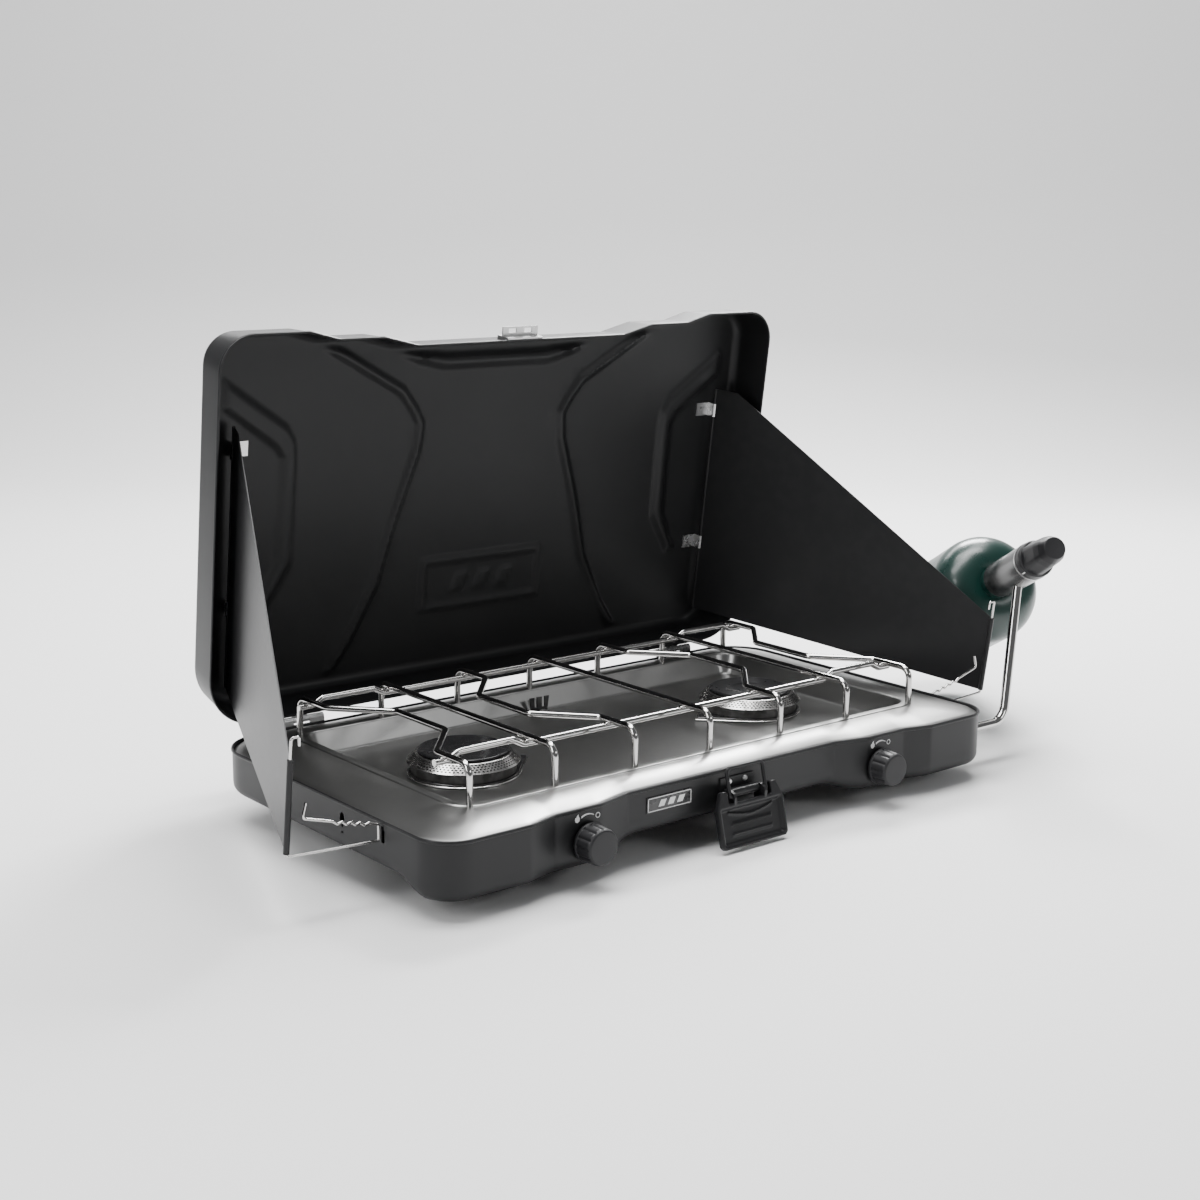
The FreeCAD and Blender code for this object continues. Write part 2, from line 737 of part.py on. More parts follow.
def make_latch_lever():
    """Moulded lever: plate with a raised rim, two finger ribs and a pair of ears."""
    p = latch_pivot()
    down, out = lever_frame()

    def outline(inset, depth):
        half_width = lever_half - inset
        low = lever_length - inset
        top = lever_top + inset * 0.8
        side = [(lever_top_half - inset, top), (half_width, 11.0),
                (half_width - 0.5, low - 2.5), (half_width - 3, low)]
        line = side + [(-x, d) for x, d in reversed(side)]
        return [p + X * x + down * d + out * depth for x, d in line]

    plate = slab(outline(0, 2.0), out * lever_plate)
    rim_height = lever_plate + lever_rim
    inside = slab(outline(lever_rim_width, 1.0), out * (rim_height + 2))
    rim = slab(outline(0, 2.0), out * rim_height).cut(inside)
    ribs = []
    for d in (21.0, 29.0):
        corner = p - X * 20 + down * d + out * 2.0
        other = corner + X * 40
        ribs.append(slab([corner, other, other + down * 2, corner + down * 2], out * (lever_plate + 1.4)))
    ears = []
    x0 = barrel_half + gap
    for s in (-1, 1):
        ear = rod(vec(s * x0, p.y, p.z), X * s, ear_thick, 3.6)
        front_ear = rod(vec(s * x0, p.y - bail_out, p.z - 1), X * s, ear_thick, 3.4)
        web = slab([vec(s * x0, p.y, p.z + 3.4), vec(s * x0, p.y - bail_out, p.z + 2.2),
                    vec(s * x0, p.y - bail_out - 3, p.z - 9), vec(s * x0, p.y, p.z - 9)], X * s * ear_thick)
        ears += [ear, front_ear, web]
    lever = fuse([plate, rim] + ribs)
    notch_corner = p - X * lever_notch + down * (lever_top - 1) + out * -1
    notch_end = notch_corner + X * (2 * lever_notch)
    notch = slab([notch_corner, notch_end, notch_end + down * 10.5, notch_corner + down * 10.5], out * 14)
    lever = fuse([lever.cut(notch)] + ears)
    lever = lever.cut(rod(vec(-99, p.y, p.z), X, 198, latch_pin_r))
    return lever.cut(rod(vec(-99, p.y - bail_out, p.z - 1), X, 198, bail_r + fit)).removeSplitter()


def make_latch_pin():
    p = latch_pivot()
    end = barrel_half + gap + ear_thick
    return rod(vec(-end, p.y, p.z), X, 2 * end, latch_pin_r)


def make_latch_bail():
    """Wire loop that hooks over the lid's catch."""
    p = latch_pivot()
    y = p.y - bail_out
    z = p.z - 1
    x = barrel_half + gap + ear_thick + gap + bail_r
    inner = barrel_half + gap + 0.4
    top_y = y + 5
    points = [vec(-inner, y, z), vec(-x, y, z), vec(-x, top_y, z + bail_height), vec(x, top_y, z + bail_height),
              vec(x, y, z), vec(inner, y, z)]
    return bent_rod(points, [1.6, 4.0, 4.0, 1.6], bail_r)


# ---- lid ----
def lid_solid(inset):
    """Lid drawn closed, rim down: upright rim, drafted walls and a rounded shoulder round the panel."""
    z = hinge_z
    top = lid_depth - inset
    shoulder = top - lid_crown
    low = -1.0 if inset else 0.0
    return loft(case_outline(inset, z + low), case_outline(inset, z + hem_height),
                case_outline(inset + lid_draft, z + shoulder),
                case_outline(inset + lid_draft + lid_crown_inset, z + top))


def make_lid_shell():
    """Pressed steel lid with a rolled rim."""
    roll = Part.Face(case_outline(-hem, hinge_z)).extrude(Z * hem_height)
    return open_lid(lid_solid(0).fuse(roll).cut(lid_solid(sheet)))


def make_lid_catch():
    """Bright hooked plate on the lid's front edge that the bail pulls on."""
    y = middle_front
    z = hinge_z
    plate = box(-18, 18, y - hem - 1.2, y - hem, z + 1, z + 16)
    flange = box(-18, 18, y - hem - 9, y - hem, z + 9, z + 10.2)
    slots = [box(s * 8 - 4, s * 8 + 4, y - hem - 7.5, y - hem - 4, z + 8, z + 11) for s in (-1, 1)]
    back_fill = box(-18, 18, y - hem, y + 4, z + hem_height + 0.1, z + 16).cut(lid_solid(0))
    catch = fuse([plate, flange, back_fill]).cut(Part.makeCompound(slots))
    return open_lid(catch)


def hinge_knuckle(x0, x1):
    return rod(vec(x0, hinge_y, hinge_z), X, x1 - x0, knuckle_r)


def hinge_pieces():
    """For each hinge: the middle and the places where its three knuckles begin and end."""
    for s in (-1, 1):
        middle = s * (half - hinge_inset)
        wide = leaf_width / 2
        narrow = leaf_width / 6
        yield middle, middle - wide, middle - narrow, middle + narrow, middle + wide


def pin_bore():
    starts = [vec(pieces[0] - leaf_width, hinge_y, hinge_z) for pieces in hinge_pieces()]
    return [rod(start, X, 2 * leaf_width, hinge_pin_r) for start in starts]


def make_hinge_base_leaves():
    """Leaves on the back of the case, each with the two outer knuckles."""
    leaves = []
    for m, a, b, c, d in hinge_pieces():
        plate = box(a, d, back, back + hem + leaf_thick, base + 20, lip - hem_height)
        over = box(a, d, back + hem, back + hem + leaf_thick, lip - hem_height, hinge_z - 0.5)
        clear = box(b - gap, c + gap, back + hem, back + 9, hinge_z - knuckle_r - gap, hinge_z + 9)
        leaf = plate.fuse(over).cut(clear)
        leaf = fuse([leaf, hinge_knuckle(a, b - gap), hinge_knuckle(c + gap, d)])
        leaves.append(leaf.cut(Part.makeCompound(pin_bore())))
    return Part.makeCompound(leaves)


def make_hinge_lid_leaves():
    """Leaves on the back of the lid, each with the middle knuckle."""
    leaves = []
    for m, a, b, c, d in hinge_pieces():
        plate = box(a, d, back - 4, back + hem + leaf_thick, hinge_z + hem_height + 0.05, hinge_z + 20)
        plate = plate.cut(lid_solid(0))
        over = box(b, c, back + hem, back + hem + leaf_thick, hinge_z + 0.5, hinge_z + hem_height + 1)
        leaf = fuse([plate, over, hinge_knuckle(b, c)])
        bore = rod(vec(m - leaf_width, hinge_y, hinge_z), X, 2 * leaf_width, hinge_pin_r + fit)
        leaves.append(open_lid(leaf.cut(bore)))
    return Part.makeCompound(leaves)


def make_hinge_pins():
    return Part.makeCompound([rod(vec(a - 0.8, hinge_y, hinge_z), X, d - a + 1.6, hinge_pin_r)
                              for m, a, b, c, d in hinge_pieces()])


# ---- windscreens, drawn for the right one ----
def screen_axes():
    """The hinge line's foot, and the direction from it to the screen's front edge."""
    a = math.radians(screen_swing)
    foot = lid_point(half - screen_hinge_in, 0, screen_hinge_off)
    return foot, X * math.sin(a) - BEHIND * math.cos(a)


def screen_reach():
    return case_depth - screen_reach_less


def screen_point(across, along):
    foot, out = screen_axes()
    return foot + out * across + ALONG * along


def hem_tube(start, length, outer, inner):
    return rod(start, ALONG, length, outer).cut(rod(start - ALONG, ALONG, length + 2, inner))


def make_windscreen():
    """Sheet steel side screen: rolled hinge edge, sloping top, rolled front edge that holds the wire."""
    foot, out = screen_axes()
    normal = out.cross(ALONG).normalize()
    reach = screen_reach()
    top = case_depth - screen_top_less
    line = [(0, screen_low_back), (0, top), (screen_flat, top),
            (reach, screen_front_top), (reach, screen_low_front)]
    sheet_body = slab([screen_point(a, b) - normal * (screen_thick / 2) for a, b in line], normal * screen_thick)
    hinge_roll = rod(screen_point(0, screen_low_back), ALONG, top - screen_low_back, screen_rod_r)
    hem_length = screen_front_top - screen_low_front
    front_roll = rod(screen_point(reach, screen_low_front), ALONG, hem_length, front_hem_r)
    bore = rod(screen_point(reach, screen_low_front - 1), ALONG, hem_length + 2, screen_wire_r + fit)
    return fuse([sheet_body, hinge_roll, front_roll]).cut(bore)


def make_screen_clips():
    """Bright clips riveted to the lid, each rolled round the screen's hinge edge."""
    foot, out = screen_axes()
    clips = []
    for place in clip_places:
        low = place - clip_length / 2
        centre = screen_point(0, low)
        roll = rod(centre, ALONG, clip_length, screen_rod_r + fit + 1.1)
        start = lid_point(half - screen_hinge_in, low, screen_hinge_off)
        panel = lid_depth - sheet
        depth = panel - screen_hinge_off
        plate_x = -2.2 - clip_plate
        plate_line = [(plate_x, depth), (-1.2, depth), (-1.2, depth - clip_thick), (plate_x, depth - clip_thick)]
        web_line = [(-2.2, depth), (-1.2, depth), (-1.2, 1.0), (-2.2, 1.0)]
        plate = slab([start + X * a + BEHIND * b for a, b in plate_line], ALONG * clip_length)
        web = slab([start + X * a + BEHIND * b for a, b in web_line], ALONG * clip_length)
        bore = rod(centre - ALONG, ALONG, clip_length + 2, screen_rod_r + fit)
        slit = []
        for spread in (-1, 1):
            a = math.radians(screen_swing + slit_spread * spread)
            slit.append(start - ALONG + (X * math.sin(a) - BEHIND * math.cos(a)) * 9)
        opening = slab([start - ALONG, slit[0], slit[1]], ALONG * (clip_length + 2))
        hole = rod(start + X * (plate_x + clip_plate / 2) + ALONG * (clip_length / 2) + BEHIND * (depth + 5),
                   BEHIND * -1, 12, 1.6)
        clips.append(fuse([roll, plate, web]).cut(bore).cut(opening).cut(hole))
    return Part.makeCompound(clips)


def make_clip_rivets():
    """Rivets through the clips and the lid."""
    rivets = []
    for place in clip_places:
        x = half - screen_hinge_in - 2.2 - clip_plate / 2
        inner = lid_depth - sheet
        shank = rod(lid_point(x, place, inner), BEHIND * -1, clip_thick, 1.6)
        head = rod(lid_point(x, place, inner - clip_thick), BEHIND * -1, 1.2, 3.0)
        rivets.append(shank.fuse(head).removeSplitter())
    pair = Part.makeCompound(rivets)
    return both_sides(pair)


def hem_end(along):
    return screen_point(screen_reach(), along)


def make_screen_wire():
    """Bent spring wire: turns in the screen's front hem, hooks at the top, reaches to the case's slot."""
    low = hem_end(screen_low_front)
    high = hem_end(screen_front_top)
    y, z_low, z_high = screen_wire_end()
    tip_x = half + side_gap
    inward = vec(-1, 0, 0)
    hook = [high + ALONG * 9 + inward * 6.5, high + ALONG * 15.5 + inward * 6.0, high + ALONG * 15.5, high]
    start_low = low - ALONG * 2.5
    reach = start_low.x - tip_x
    points = hook + [start_low, vec(tip_x, y, z_low), vec(tip_x, y, z_high)]
    bends = [2.0, 2.0, 0, 2.0, 1.4, 1.4]
    points.pop(3)
    bends.pop(2)
    teeth = 5
    for i in range(1, 2 * teeth):
        share = 0.06 + 0.5 * i / (2 * teeth)
        lift = 1.1 if i % 2 else -0.7
        points.append(vec(tip_x + reach * share, y, z_high + 9.5 * share / 0.56 + lift))
        bends.append(0.6)
    points.append(vec(tip_x + reach * 0.84, y, z_high + 16.5))
    bends.append(2.5)
    points.append(vec(tip_x + reach * 0.80, y, z_high + 27.0))
    return bent_rod(points, bends, screen_wire_r)


def screen_wire_end():
    """Where the wire reaches the case's side: its place along Y, and the low and high ends of its loop."""
    low = hem_end(screen_low_front)
    return low.y - 3.0, low.z - 5.0, low.z + 6.5


def screen_slot():
    y, z_low, z_high = screen_wire_end()
    return y, z_low - 1.5, z_high + 2.5


def parts():
    """Every node by name, with its shape."""
    yield "case_bottom", make_case_bottom()
    yield "rubber_feet", make_rubber_feet()
    yield "foot_screws", make_foot_screws()
    yield "cooktop_panel", make_cooktop_panel()
    pairs = [("burner_trim", make_burner_trim), ("burner_body", make_burner_body),
             ("burner_ring", make_burner_ring), ("burner_cap", make_burner_cap),
             ("mixing_tube", make_mixing_tube), ("valve", make_valve),
             ("knob_stem", make_knob_stem), ("knob", make_knob), ("windscreen", make_windscreen),
             ("windscreen_clips", make_screen_clips), ("windscreen_wire", make_screen_wire)]
    for name, make in pairs:
        shape = make()
        yield name + "_right", shape
        yield name + "_left", mirrored(shape)
    yield "manifold_pipe", make_manifold_pipe()
    yield "inlet_fitting", make_inlet_fitting()
    yield "supply_pipe", make_supply_pipe()
    yield "regulator_body", make_regulator_body()
    yield "regulator_ring", make_regulator_ring()
    yield "regulator_grip", make_regulator_grip()
    yield "gas_cylinder", make_gas_cylinder()
    for i in range(7):
        yield "grate_wire_%d" % (i + 1), make_grate_wire(i)
    yield "grate_front_rail", make_grate_rail(front + rail_in_front)
    yield "grate_rear_rail", make_grate_rail(back - rail_in_back)
    yield "transport_clip", make_transport_clip()
    yield "clip_screw", make_clip_screw()
    yield "front_badge", make_front_badge()
    yield "latch_bracket", make_latch_bracket()
    yield "latch_rivets", make_latch_rivets()
    yield "latch_lever", make_latch_lever()
    yield "latch_pin", make_latch_pin()
    yield "latch_bail", make_latch_bail()
    yield "lid_shell", make_lid_shell()
    yield "lid_catch", make_lid_catch()
    yield "hinge_base_leaves", make_hinge_base_leaves()
    yield "hinge_lid_leaves", make_hinge_lid_leaves()
    yield "hinge_pins", make_hinge_pins()
    yield "screen_clip_rivets", make_clip_rivets()


for name, shape in parts():
    for solid in shape.Solids:
        if not solid.isValid():
            print("not valid:", name)
    Part.makeCompound(shape.Solids).exportStep("parts/%s.step" % name)
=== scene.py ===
import bmesh
import bpy
import json
import math
import numpy as np
from mathutils import Matrix, Vector
from mathutils.geometry import delaunay_2d_cdt


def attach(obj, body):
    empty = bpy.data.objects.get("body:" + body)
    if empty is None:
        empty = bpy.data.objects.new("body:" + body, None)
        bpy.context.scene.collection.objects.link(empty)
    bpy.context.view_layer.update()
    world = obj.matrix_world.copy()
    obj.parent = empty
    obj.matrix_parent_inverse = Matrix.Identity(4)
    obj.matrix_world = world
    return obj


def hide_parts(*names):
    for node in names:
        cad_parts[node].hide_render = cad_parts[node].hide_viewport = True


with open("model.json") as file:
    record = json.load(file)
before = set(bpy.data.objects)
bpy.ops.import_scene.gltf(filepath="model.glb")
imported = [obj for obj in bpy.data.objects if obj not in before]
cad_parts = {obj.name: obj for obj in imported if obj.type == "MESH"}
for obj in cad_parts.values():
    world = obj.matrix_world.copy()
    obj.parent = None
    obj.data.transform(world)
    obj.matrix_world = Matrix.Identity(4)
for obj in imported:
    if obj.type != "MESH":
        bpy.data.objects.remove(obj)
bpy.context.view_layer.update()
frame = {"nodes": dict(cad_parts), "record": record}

# Everything is drawn in millimetres, and turned into metres when a piece is finished.


# ---------------------------------------------------------------- case
# The lower case is one deep pressing of sheet steel with a rolled lip and a soft bottom edge, powder coated
# black. Its front steps back twice, so that the knobs and the latch sit protected. It is raised except at two
# front pads, and stands on four rubber feet.
HALF, FRONT, BACK = 281.0, -156.0, 156.0
BASE, EDGE, WALL = 12.5, 9.0, 1.2
FOLDS = ((204.6, 0.0), (179.0, 6.9), (137.5, 6.9), (106.3, 14.7))
SIDES = ((-1, "left"), (1, "right"))


def quarter(count):
    """Angles from nothing to a quarter turn, in even steps."""
    return [math.pi / 2 * k / count for k in range(count + 1)]


def polyline_fillet(corners):
    """Rounds each corner (x, y, radius, steps) of a polygon and returns the points."""
    out = []
    n = len(corners)
    for i in range(n):
        x, y, r, steps = corners[i]
        p = Vector((x, y))
        a = (Vector(corners[i - 1][:2]) - p).normalized()
        b = (Vector(corners[(i + 1) % n][:2]) - p).normalized()
        ang = a.angle(b) / 2
        if abs(ang - math.pi / 2) < 1e-3:
            out += [p + (a * (1 - k / steps) + b * (k / steps)) * 3.0 for k in range(steps + 1)]
            continue
        reach = r / math.tan(ang)
        centre = p + (a + b).normalized() * (r / math.sin(ang))
        s = p + a * reach - centre
        e = p + b * reach - centre
        full = s.angle_signed(e)
        for k in range(steps + 1):
            t = -full * k / steps
            turned = (s.x * math.cos(t) - s.y * math.sin(t), s.x * math.sin(t) + s.y * math.cos(t))
            out.append(centre + Vector(turned))
    return out


def outline(inset, step=1.0, hx=HALF, yf=FRONT, yb=BACK, rf=28.0, rb=42.0, every=7.0):
    """The case's outline from above: a rectangle with round corners and a front that steps back twice."""
    h, f, b = hx - inset, yf + inset, yb - inset
    side = [(-x, f + d * step, 16.0, 5) for x, d in FOLDS]
    line = [(-h, f, max(rf - inset, 3.0), 10)] + side + [(-x, y, r, n) for x, y, r, n in reversed(side)]
    line.append((h, f, max(rf - inset, 3.0), 10))
    line += [(x, b, max(rb - inset, 3.0), 12) for x in (h, -h)]
    pts = polyline_fillet(line)
    counts = outline.counts
    if every not in counts:
        lengths = [(pts[(i + 1) % len(pts)] - pts[i]).length for i in range(len(pts))]
        counts[every] = [max(1, int(length / every)) for length in lengths]
    out = []
    for i, c in enumerate(counts[every]):
        q = pts[(i + 1) % len(pts)]
        out += [pts[i].lerp(q, k / c) for k in range(c)]
    return out


outline.counts = {}


def add_rings(bm, rings, closed=True):
    """Joins rings of points with the same count by quads, and returns the rings' vertices."""
    made = [[bm.verts.new(p) for p in ring] for ring in rings]
    n = len(made[0])
    for a, b in zip(made, made[1:]):
        for i in range(n if closed else n - 1):
            j = (i + 1) % n
            bm.faces.new((a[i], a[j], b[j], b[i]))
    return made


def inside(points, loops):
    """Even-odd test of many points against closed loops."""
    x, y = points[:, 0], points[:, 1]
    odd = np.zeros(len(points), bool)
    for loop in loops:
        p = np.array([(q[0], q[1]) for q in loop])
        q = np.roll(p, -1, axis=0)
        for (x0, y0), (x1, y1) in zip(p, q):
            if y0 == y1:
                continue
            hit = ((y0 > y) != (y1 > y)) & (x < (x1 - x0) * (y - y0) / (y1 - y0) + x0)
            odd ^= hit
    return odd


def fill(bm, loops, extra, place, flip=False):
    """Fills flat loops, the outside one first, through extra points; place() puts them all in space."""
    pts, edges = [], []
    for loop in loops:
        first = len(pts)
        pts += [Vector((p[0], p[1])) for p in loop]
        edges += [(first + i, first + (i + 1) % len(loop)) for i in range(len(loop))]
    pts += [Vector((float(p[0]), float(p[1]))) for p in extra]
    verts, _, faces, _, _, _ = delaunay_2d_cdt(pts, edges, [], 0, 1e-5)
    flat = np.array([(v.x, v.y) for v in verts])
    tri = np.array(faces)
    keep = inside(flat[tri].mean(axis=1), loops)
    made = [bm.verts.new(p) for p in place(flat)]
    for f in tri[keep]:
        order = [made[i] for i in (reversed(f) if flip else f)]
        bm.faces.new(order)
    return made


def group(name, inputs, outputs):
    """A shader group with named sockets; returns it with its input and output nodes."""
    tree = bpy.data.node_groups.new(name, "ShaderNodeTree")
    for label, kind, value in inputs:
        s = tree.interface.new_socket(name=label, in_out="INPUT", socket_type=kind)
        s.default_value = value
    for label, kind in outputs:
        tree.interface.new_socket(name=label, in_out="OUTPUT", socket_type=kind)
    return tree, tree.nodes.new("NodeGroupInput"), tree.nodes.new("NodeGroupOutput")


def noise(tree, scale, detail):
    """A noise texture on the piece's own coordinates."""
    place = tree.nodes.new("ShaderNodeTexCoord")
    tex = tree.nodes.new("ShaderNodeTexNoise")
    tex.inputs["Scale"].default_value = scale
    tex.inputs["Detail"].default_value = detail
    tree.links.new(place.outputs["Object"], tex.inputs["Vector"])
    return tex


def map_range(tree, source, a, b, c, d):
    """Stretches a value from the range a to b onto c to d."""
    m = tree.nodes.new("ShaderNodeMapRange")
    for label, v in (("From Min", a), ("From Max", b), ("To Min", c), ("To Max", d)):
        m.inputs[label].default_value = v
    tree.links.new(source, m.inputs["Value"])
    return m.outputs["Result"]


def math_node(tree, kind, a, b):
    """Works out one sum or product of two values or numbers."""
    m = tree.nodes.new("ShaderNodeMath")
    m.operation = kind
    for socket, v in zip(m.inputs, (a, b)):
        if isinstance(v, (int, float)):
            socket.default_value = v
        else:
            tree.links.new(v, socket)
    return m.outputs["Value"]


# Rubbed edges: a mask that is 1 where a corner sticks out and has lost a little of its finish.
wear_tree, wear_in, wear_out = group("rubbed edges", [("Amount", "NodeSocketFloat", 0.3)],
                                     [("Mask", "NodeSocketFloat")])
geometry = wear_tree.nodes.new("ShaderNodeNewGeometry")
corner = map_range(wear_tree, geometry.outputs["Pointiness"], 0.53, 0.62, 0.0, 1.0)
patchy = map_range(wear_tree, noise(wear_tree, 90.0, 5.0).outputs["Fac"], 0.42, 0.62, 0.0, 1.0)
masked = math_node(wear_tree, "MULTIPLY", corner, patchy)
rubbed = math_node(wear_tree, "MULTIPLY", masked, wear_in.outputs["Amount"])
wear_tree.links.new(rubbed, wear_out.inputs["Mask"])

# Handling: soft smears and dust that change how shiny a surface is from place to place.
smear_tree, smear_in, smear_out = group(
    "handling", [("Low", "NodeSocketFloat", 0.3), ("High", "NodeSocketFloat", 0.5)],
    [("Roughness", "NodeSocketFloat"), ("Dust", "NodeSocketFloat")])
broad = noise(smear_tree, 7.0, 4.0).outputs["Fac"]
fine = noise(smear_tree, 160.0, 2.0).outputs["Fac"]
broad_part = math_node(smear_tree, "MULTIPLY", broad, 0.8)
fine_part = math_node(smear_tree, "MULTIPLY", fine, 0.2)
both = math_node(smear_tree, "ADD", broad_part, fine_part)
share = map_range(smear_tree, both, 0.35, 0.65, 0.0, 1.0)
span = math_node(smear_tree, "SUBTRACT", smear_in.outputs["High"], smear_in.outputs["Low"])
raised = math_node(smear_tree, "MULTIPLY", share, span)
uneven = math_node(smear_tree, "ADD", smear_in.outputs["Low"], raised)
smear_tree.links.new(uneven, smear_out.inputs["Roughness"])
smear_tree.links.new(share, smear_out.inputs["Dust"])

# Grain: fine relief, close set like powder coat or wider like moulded plastic.
grain_trees = {}
for kind, scale in (("even", 1400.0), ("moulded", 900.0)):
    tree, grain_in, grain_out = group("grain " + kind, [("Strength", "NodeSocketFloat", 0.1)],
                                      [("Normal", "NodeSocketVector")])
    bump = tree.nodes.new("ShaderNodeBump")
    bump.inputs["Distance"].default_value = 0.0004
    tree.links.new(grain_in.outputs["Strength"], bump.inputs["Strength"])
    tree.links.new(noise(tree, scale, 2.0).outputs["Fac"], bump.inputs["Height"])
    tree.links.new(bump.outputs["Normal"], grain_out.inputs["Normal"])
    grain_trees[kind] = tree


def use(tree, shared):
    """Places a shared group in a material."""
    node = tree.nodes.new("ShaderNodeGroup")
    node.node_tree = shared
    return node


DUSTY = 0.12


def finish_of(name, colour, low, high, metal=0.0, worn=(0.35, 0.35, 0.35), amount=0.3, grain="even",
              relief=0.15, coat=0.0, specular=0.5):
    """A material: base colour with rubbed edges, uneven shine and grain."""
    material = bpy.data.materials.new(name)
    material.use_nodes = True
    tree = material.node_tree
    shader = tree.nodes["Principled BSDF"]
    wear, handling = use(tree, wear_tree), use(tree, smear_tree)
    relief_node = use(tree, grain_trees[grain])
    wear.inputs["Amount"].default_value = amount
    handling.inputs["Low"].default_value = low
    handling.inputs["High"].default_value = high
    relief_node.inputs["Strength"].default_value = relief
    tint = tree.nodes.new("ShaderNodeMix")
    tint.data_type = "RGBA"
    tint.inputs["A"].default_value = (*colour, 1)
    tint.inputs["B"].default_value = (*[min(1.0, c * (1 - DUSTY) + 0.02 * DUSTY) for c in colour], 1)
    tree.links.new(handling.outputs["Dust"], tint.inputs["Factor"])
    edge = tree.nodes.new("ShaderNodeMix")
    edge.data_type = "RGBA"
    edge.inputs["B"].default_value = (*worn, 1)
    tree.links.new(tint.outputs["Result"], edge.inputs["A"])
    tree.links.new(wear.outputs["Mask"], edge.inputs["Factor"])
    tree.links.new(edge.outputs["Result"], shader.inputs["Base Color"])
    tree.links.new(handling.outputs["Roughness"], shader.inputs["Roughness"])
    tree.links.new(relief_node.outputs["Normal"], shader.inputs["Normal"])
    shader.inputs["Metallic"].default_value = metal
    shader.inputs["Specular IOR Level"].default_value = specular
    shader.inputs["Coat Weight"].default_value = coat
    shader.inputs["Coat Roughness"].default_value = 0.06
    return material


def finish_piece(name, bm, material, body, replaced=None, smooth=40):
    """Turns a drawing into an object that rides on a body of the part."""
    bmesh.ops.recalc_face_normals(bm, faces=bm.faces)
    bmesh.ops.scale(bm, vec=(0.001, 0.001, 0.001), verts=bm.verts)
    name = name.replace(" ", "_")
    mesh = bpy.data.meshes.new(name)
    bm.to_mesh(mesh)
    bm.free()
    piece = bpy.data.objects.new(name, mesh)
    bpy.context.scene.collection.objects.link(piece)
    mesh.materials.append(material)
    mesh.shade_smooth()
    mesh.set_sharp_from_angle(angle=math.radians(smooth))
    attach(piece, body)
    if replaced:
        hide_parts(replaced)
    return piece


powder_coat = finish_of("powder coat", (0.0098, 0.0099, 0.0108), 0.38, 0.42, worn=(0.06, 0.06, 0.06),
                        amount=0.1, relief=0.05, specular=0.27)


def arch(x, y):
    """How far the underside is raised at a spot: between the front pads, and towards the back."""
    t = min(max((137.0 - abs(x)) / 43.0, 0.0), 1.0)
    s = min(max((y + 134.0) / 36.0, 0.0), 1.0)
    return max(9.8 * t * t * (3 - 2 * t), 9.0 * s * s * (3 - 2 * s))


def case_ring(inset, z):
    """The outline at a height, with its lower part following the raised underside."""
    lift = min(max((42.0 - z) / 20.0, 0.0), 1.0)
    return [Vector((p.x, p.y, z + arch(p.x, p.y) * lift)) for p in outline(inset)]


bm = bmesh.new()
lip = [(1.1, 50.0), (1.1, 57.0), (0.7, 57.6), (0.0, 57.8), (-0.7, 57.4), (-1.0, 56.3), (-0.7, 55.2)]
wall = [(0.0, z) for z in (54.8, 53.5, 48.0, 42.0, 34.0, 26.0)]
foot = [(EDGE * (1 - math.cos(t)), BASE + EDGE - EDGE * math.sin(t)) for t in quarter(6)]
profile = lip + wall + foot
made = add_rings(bm, [case_ring(i, z) for i, z in profile])
rim = [Vector((v.co.x, v.co.y)) for v in made[-1]]
grid = np.array([(x, y) for x in range(-264, 265, 8) for y in range(-140, 140, 8)], float)
grid = grid[inside(grid, [[(p.x * 0.985, p.y * 0.97) for p in rim]])]
fill(bm, [rim], grid, lambda pts: [Vector((x, y, BASE + arch(x, y))) for x, y in pts], flip=True)
bmesh.ops.remove_doubles(bm, verts=bm.verts, dist=0.01)


# Each side wall has the narrow slot that a windscreen wire springs into, and a pointed keyhole behind it.
def slot_loops():
    wire = [(-89.6, 41.5), (-85.4, 41.5), (-85.4, 53.5), (-89.6, 53.5)]
    key = [(-36.4, 40.5), (-34.5, 38.6), (-32.6, 40.5), (-31.4, 45.0), (-32.2, 48.6), (-34.5, 50.4),
           (-36.8, 48.6), (-37.6, 45.0)]
    notch = [(-36.6, 34.6), (-32.4, 34.6), (-34.5, 36.8)]
    return [wire, key, notch]


for side, _ in SIDES:
    window = [f for f in bm.faces if abs(f.calc_center_median().x - side * HALF) < 0.02
              and -99 < f.calc_center_median().y < -12 and 33.6 < f.calc_center_median().z < 53.6]
    bmesh.ops.delete(bm, geom=window, context="FACES")
    border = [e for e in bm.edges if e.is_boundary and all(
        abs(v.co.x - side * HALF) < 0.02 and 32 < v.co.z < 53.7 and -110 < v.co.y < 0 for v in e.verts)]
    path = [border[0].verts[0]]
    left = set(border)
    while left:
        step = next((e for e in path[-1].link_edges if e in left), None)
        if step is None:
            break
        left.discard(step)
        path.append(step.other_vert(path[-1]))
    outer = [(v.co.y, v.co.z) for v in path[:-1]]
    holes = slot_loops()
    fill(bm, [outer] + holes, [], lambda pts: [Vector((side * HALF, y, z)) for y, z in pts])
    for hole in holes:
        near = [bm.verts.new((side * HALF, y, z)) for y, z in hole]
        far = [bm.verts.new((side * (HALF - WALL), y, z)) for y, z in hole]
        for i in range(len(hole)):
            j = (i + 1) % len(hole)
            bm.faces.new((near[i], near[j], far[j], far[i]))
bmesh.ops.remove_doubles(bm, verts=bm.verts, dist=0.01)
finish_piece("case shell", bm, powder_coat, "base", "case_bottom", smooth=30)


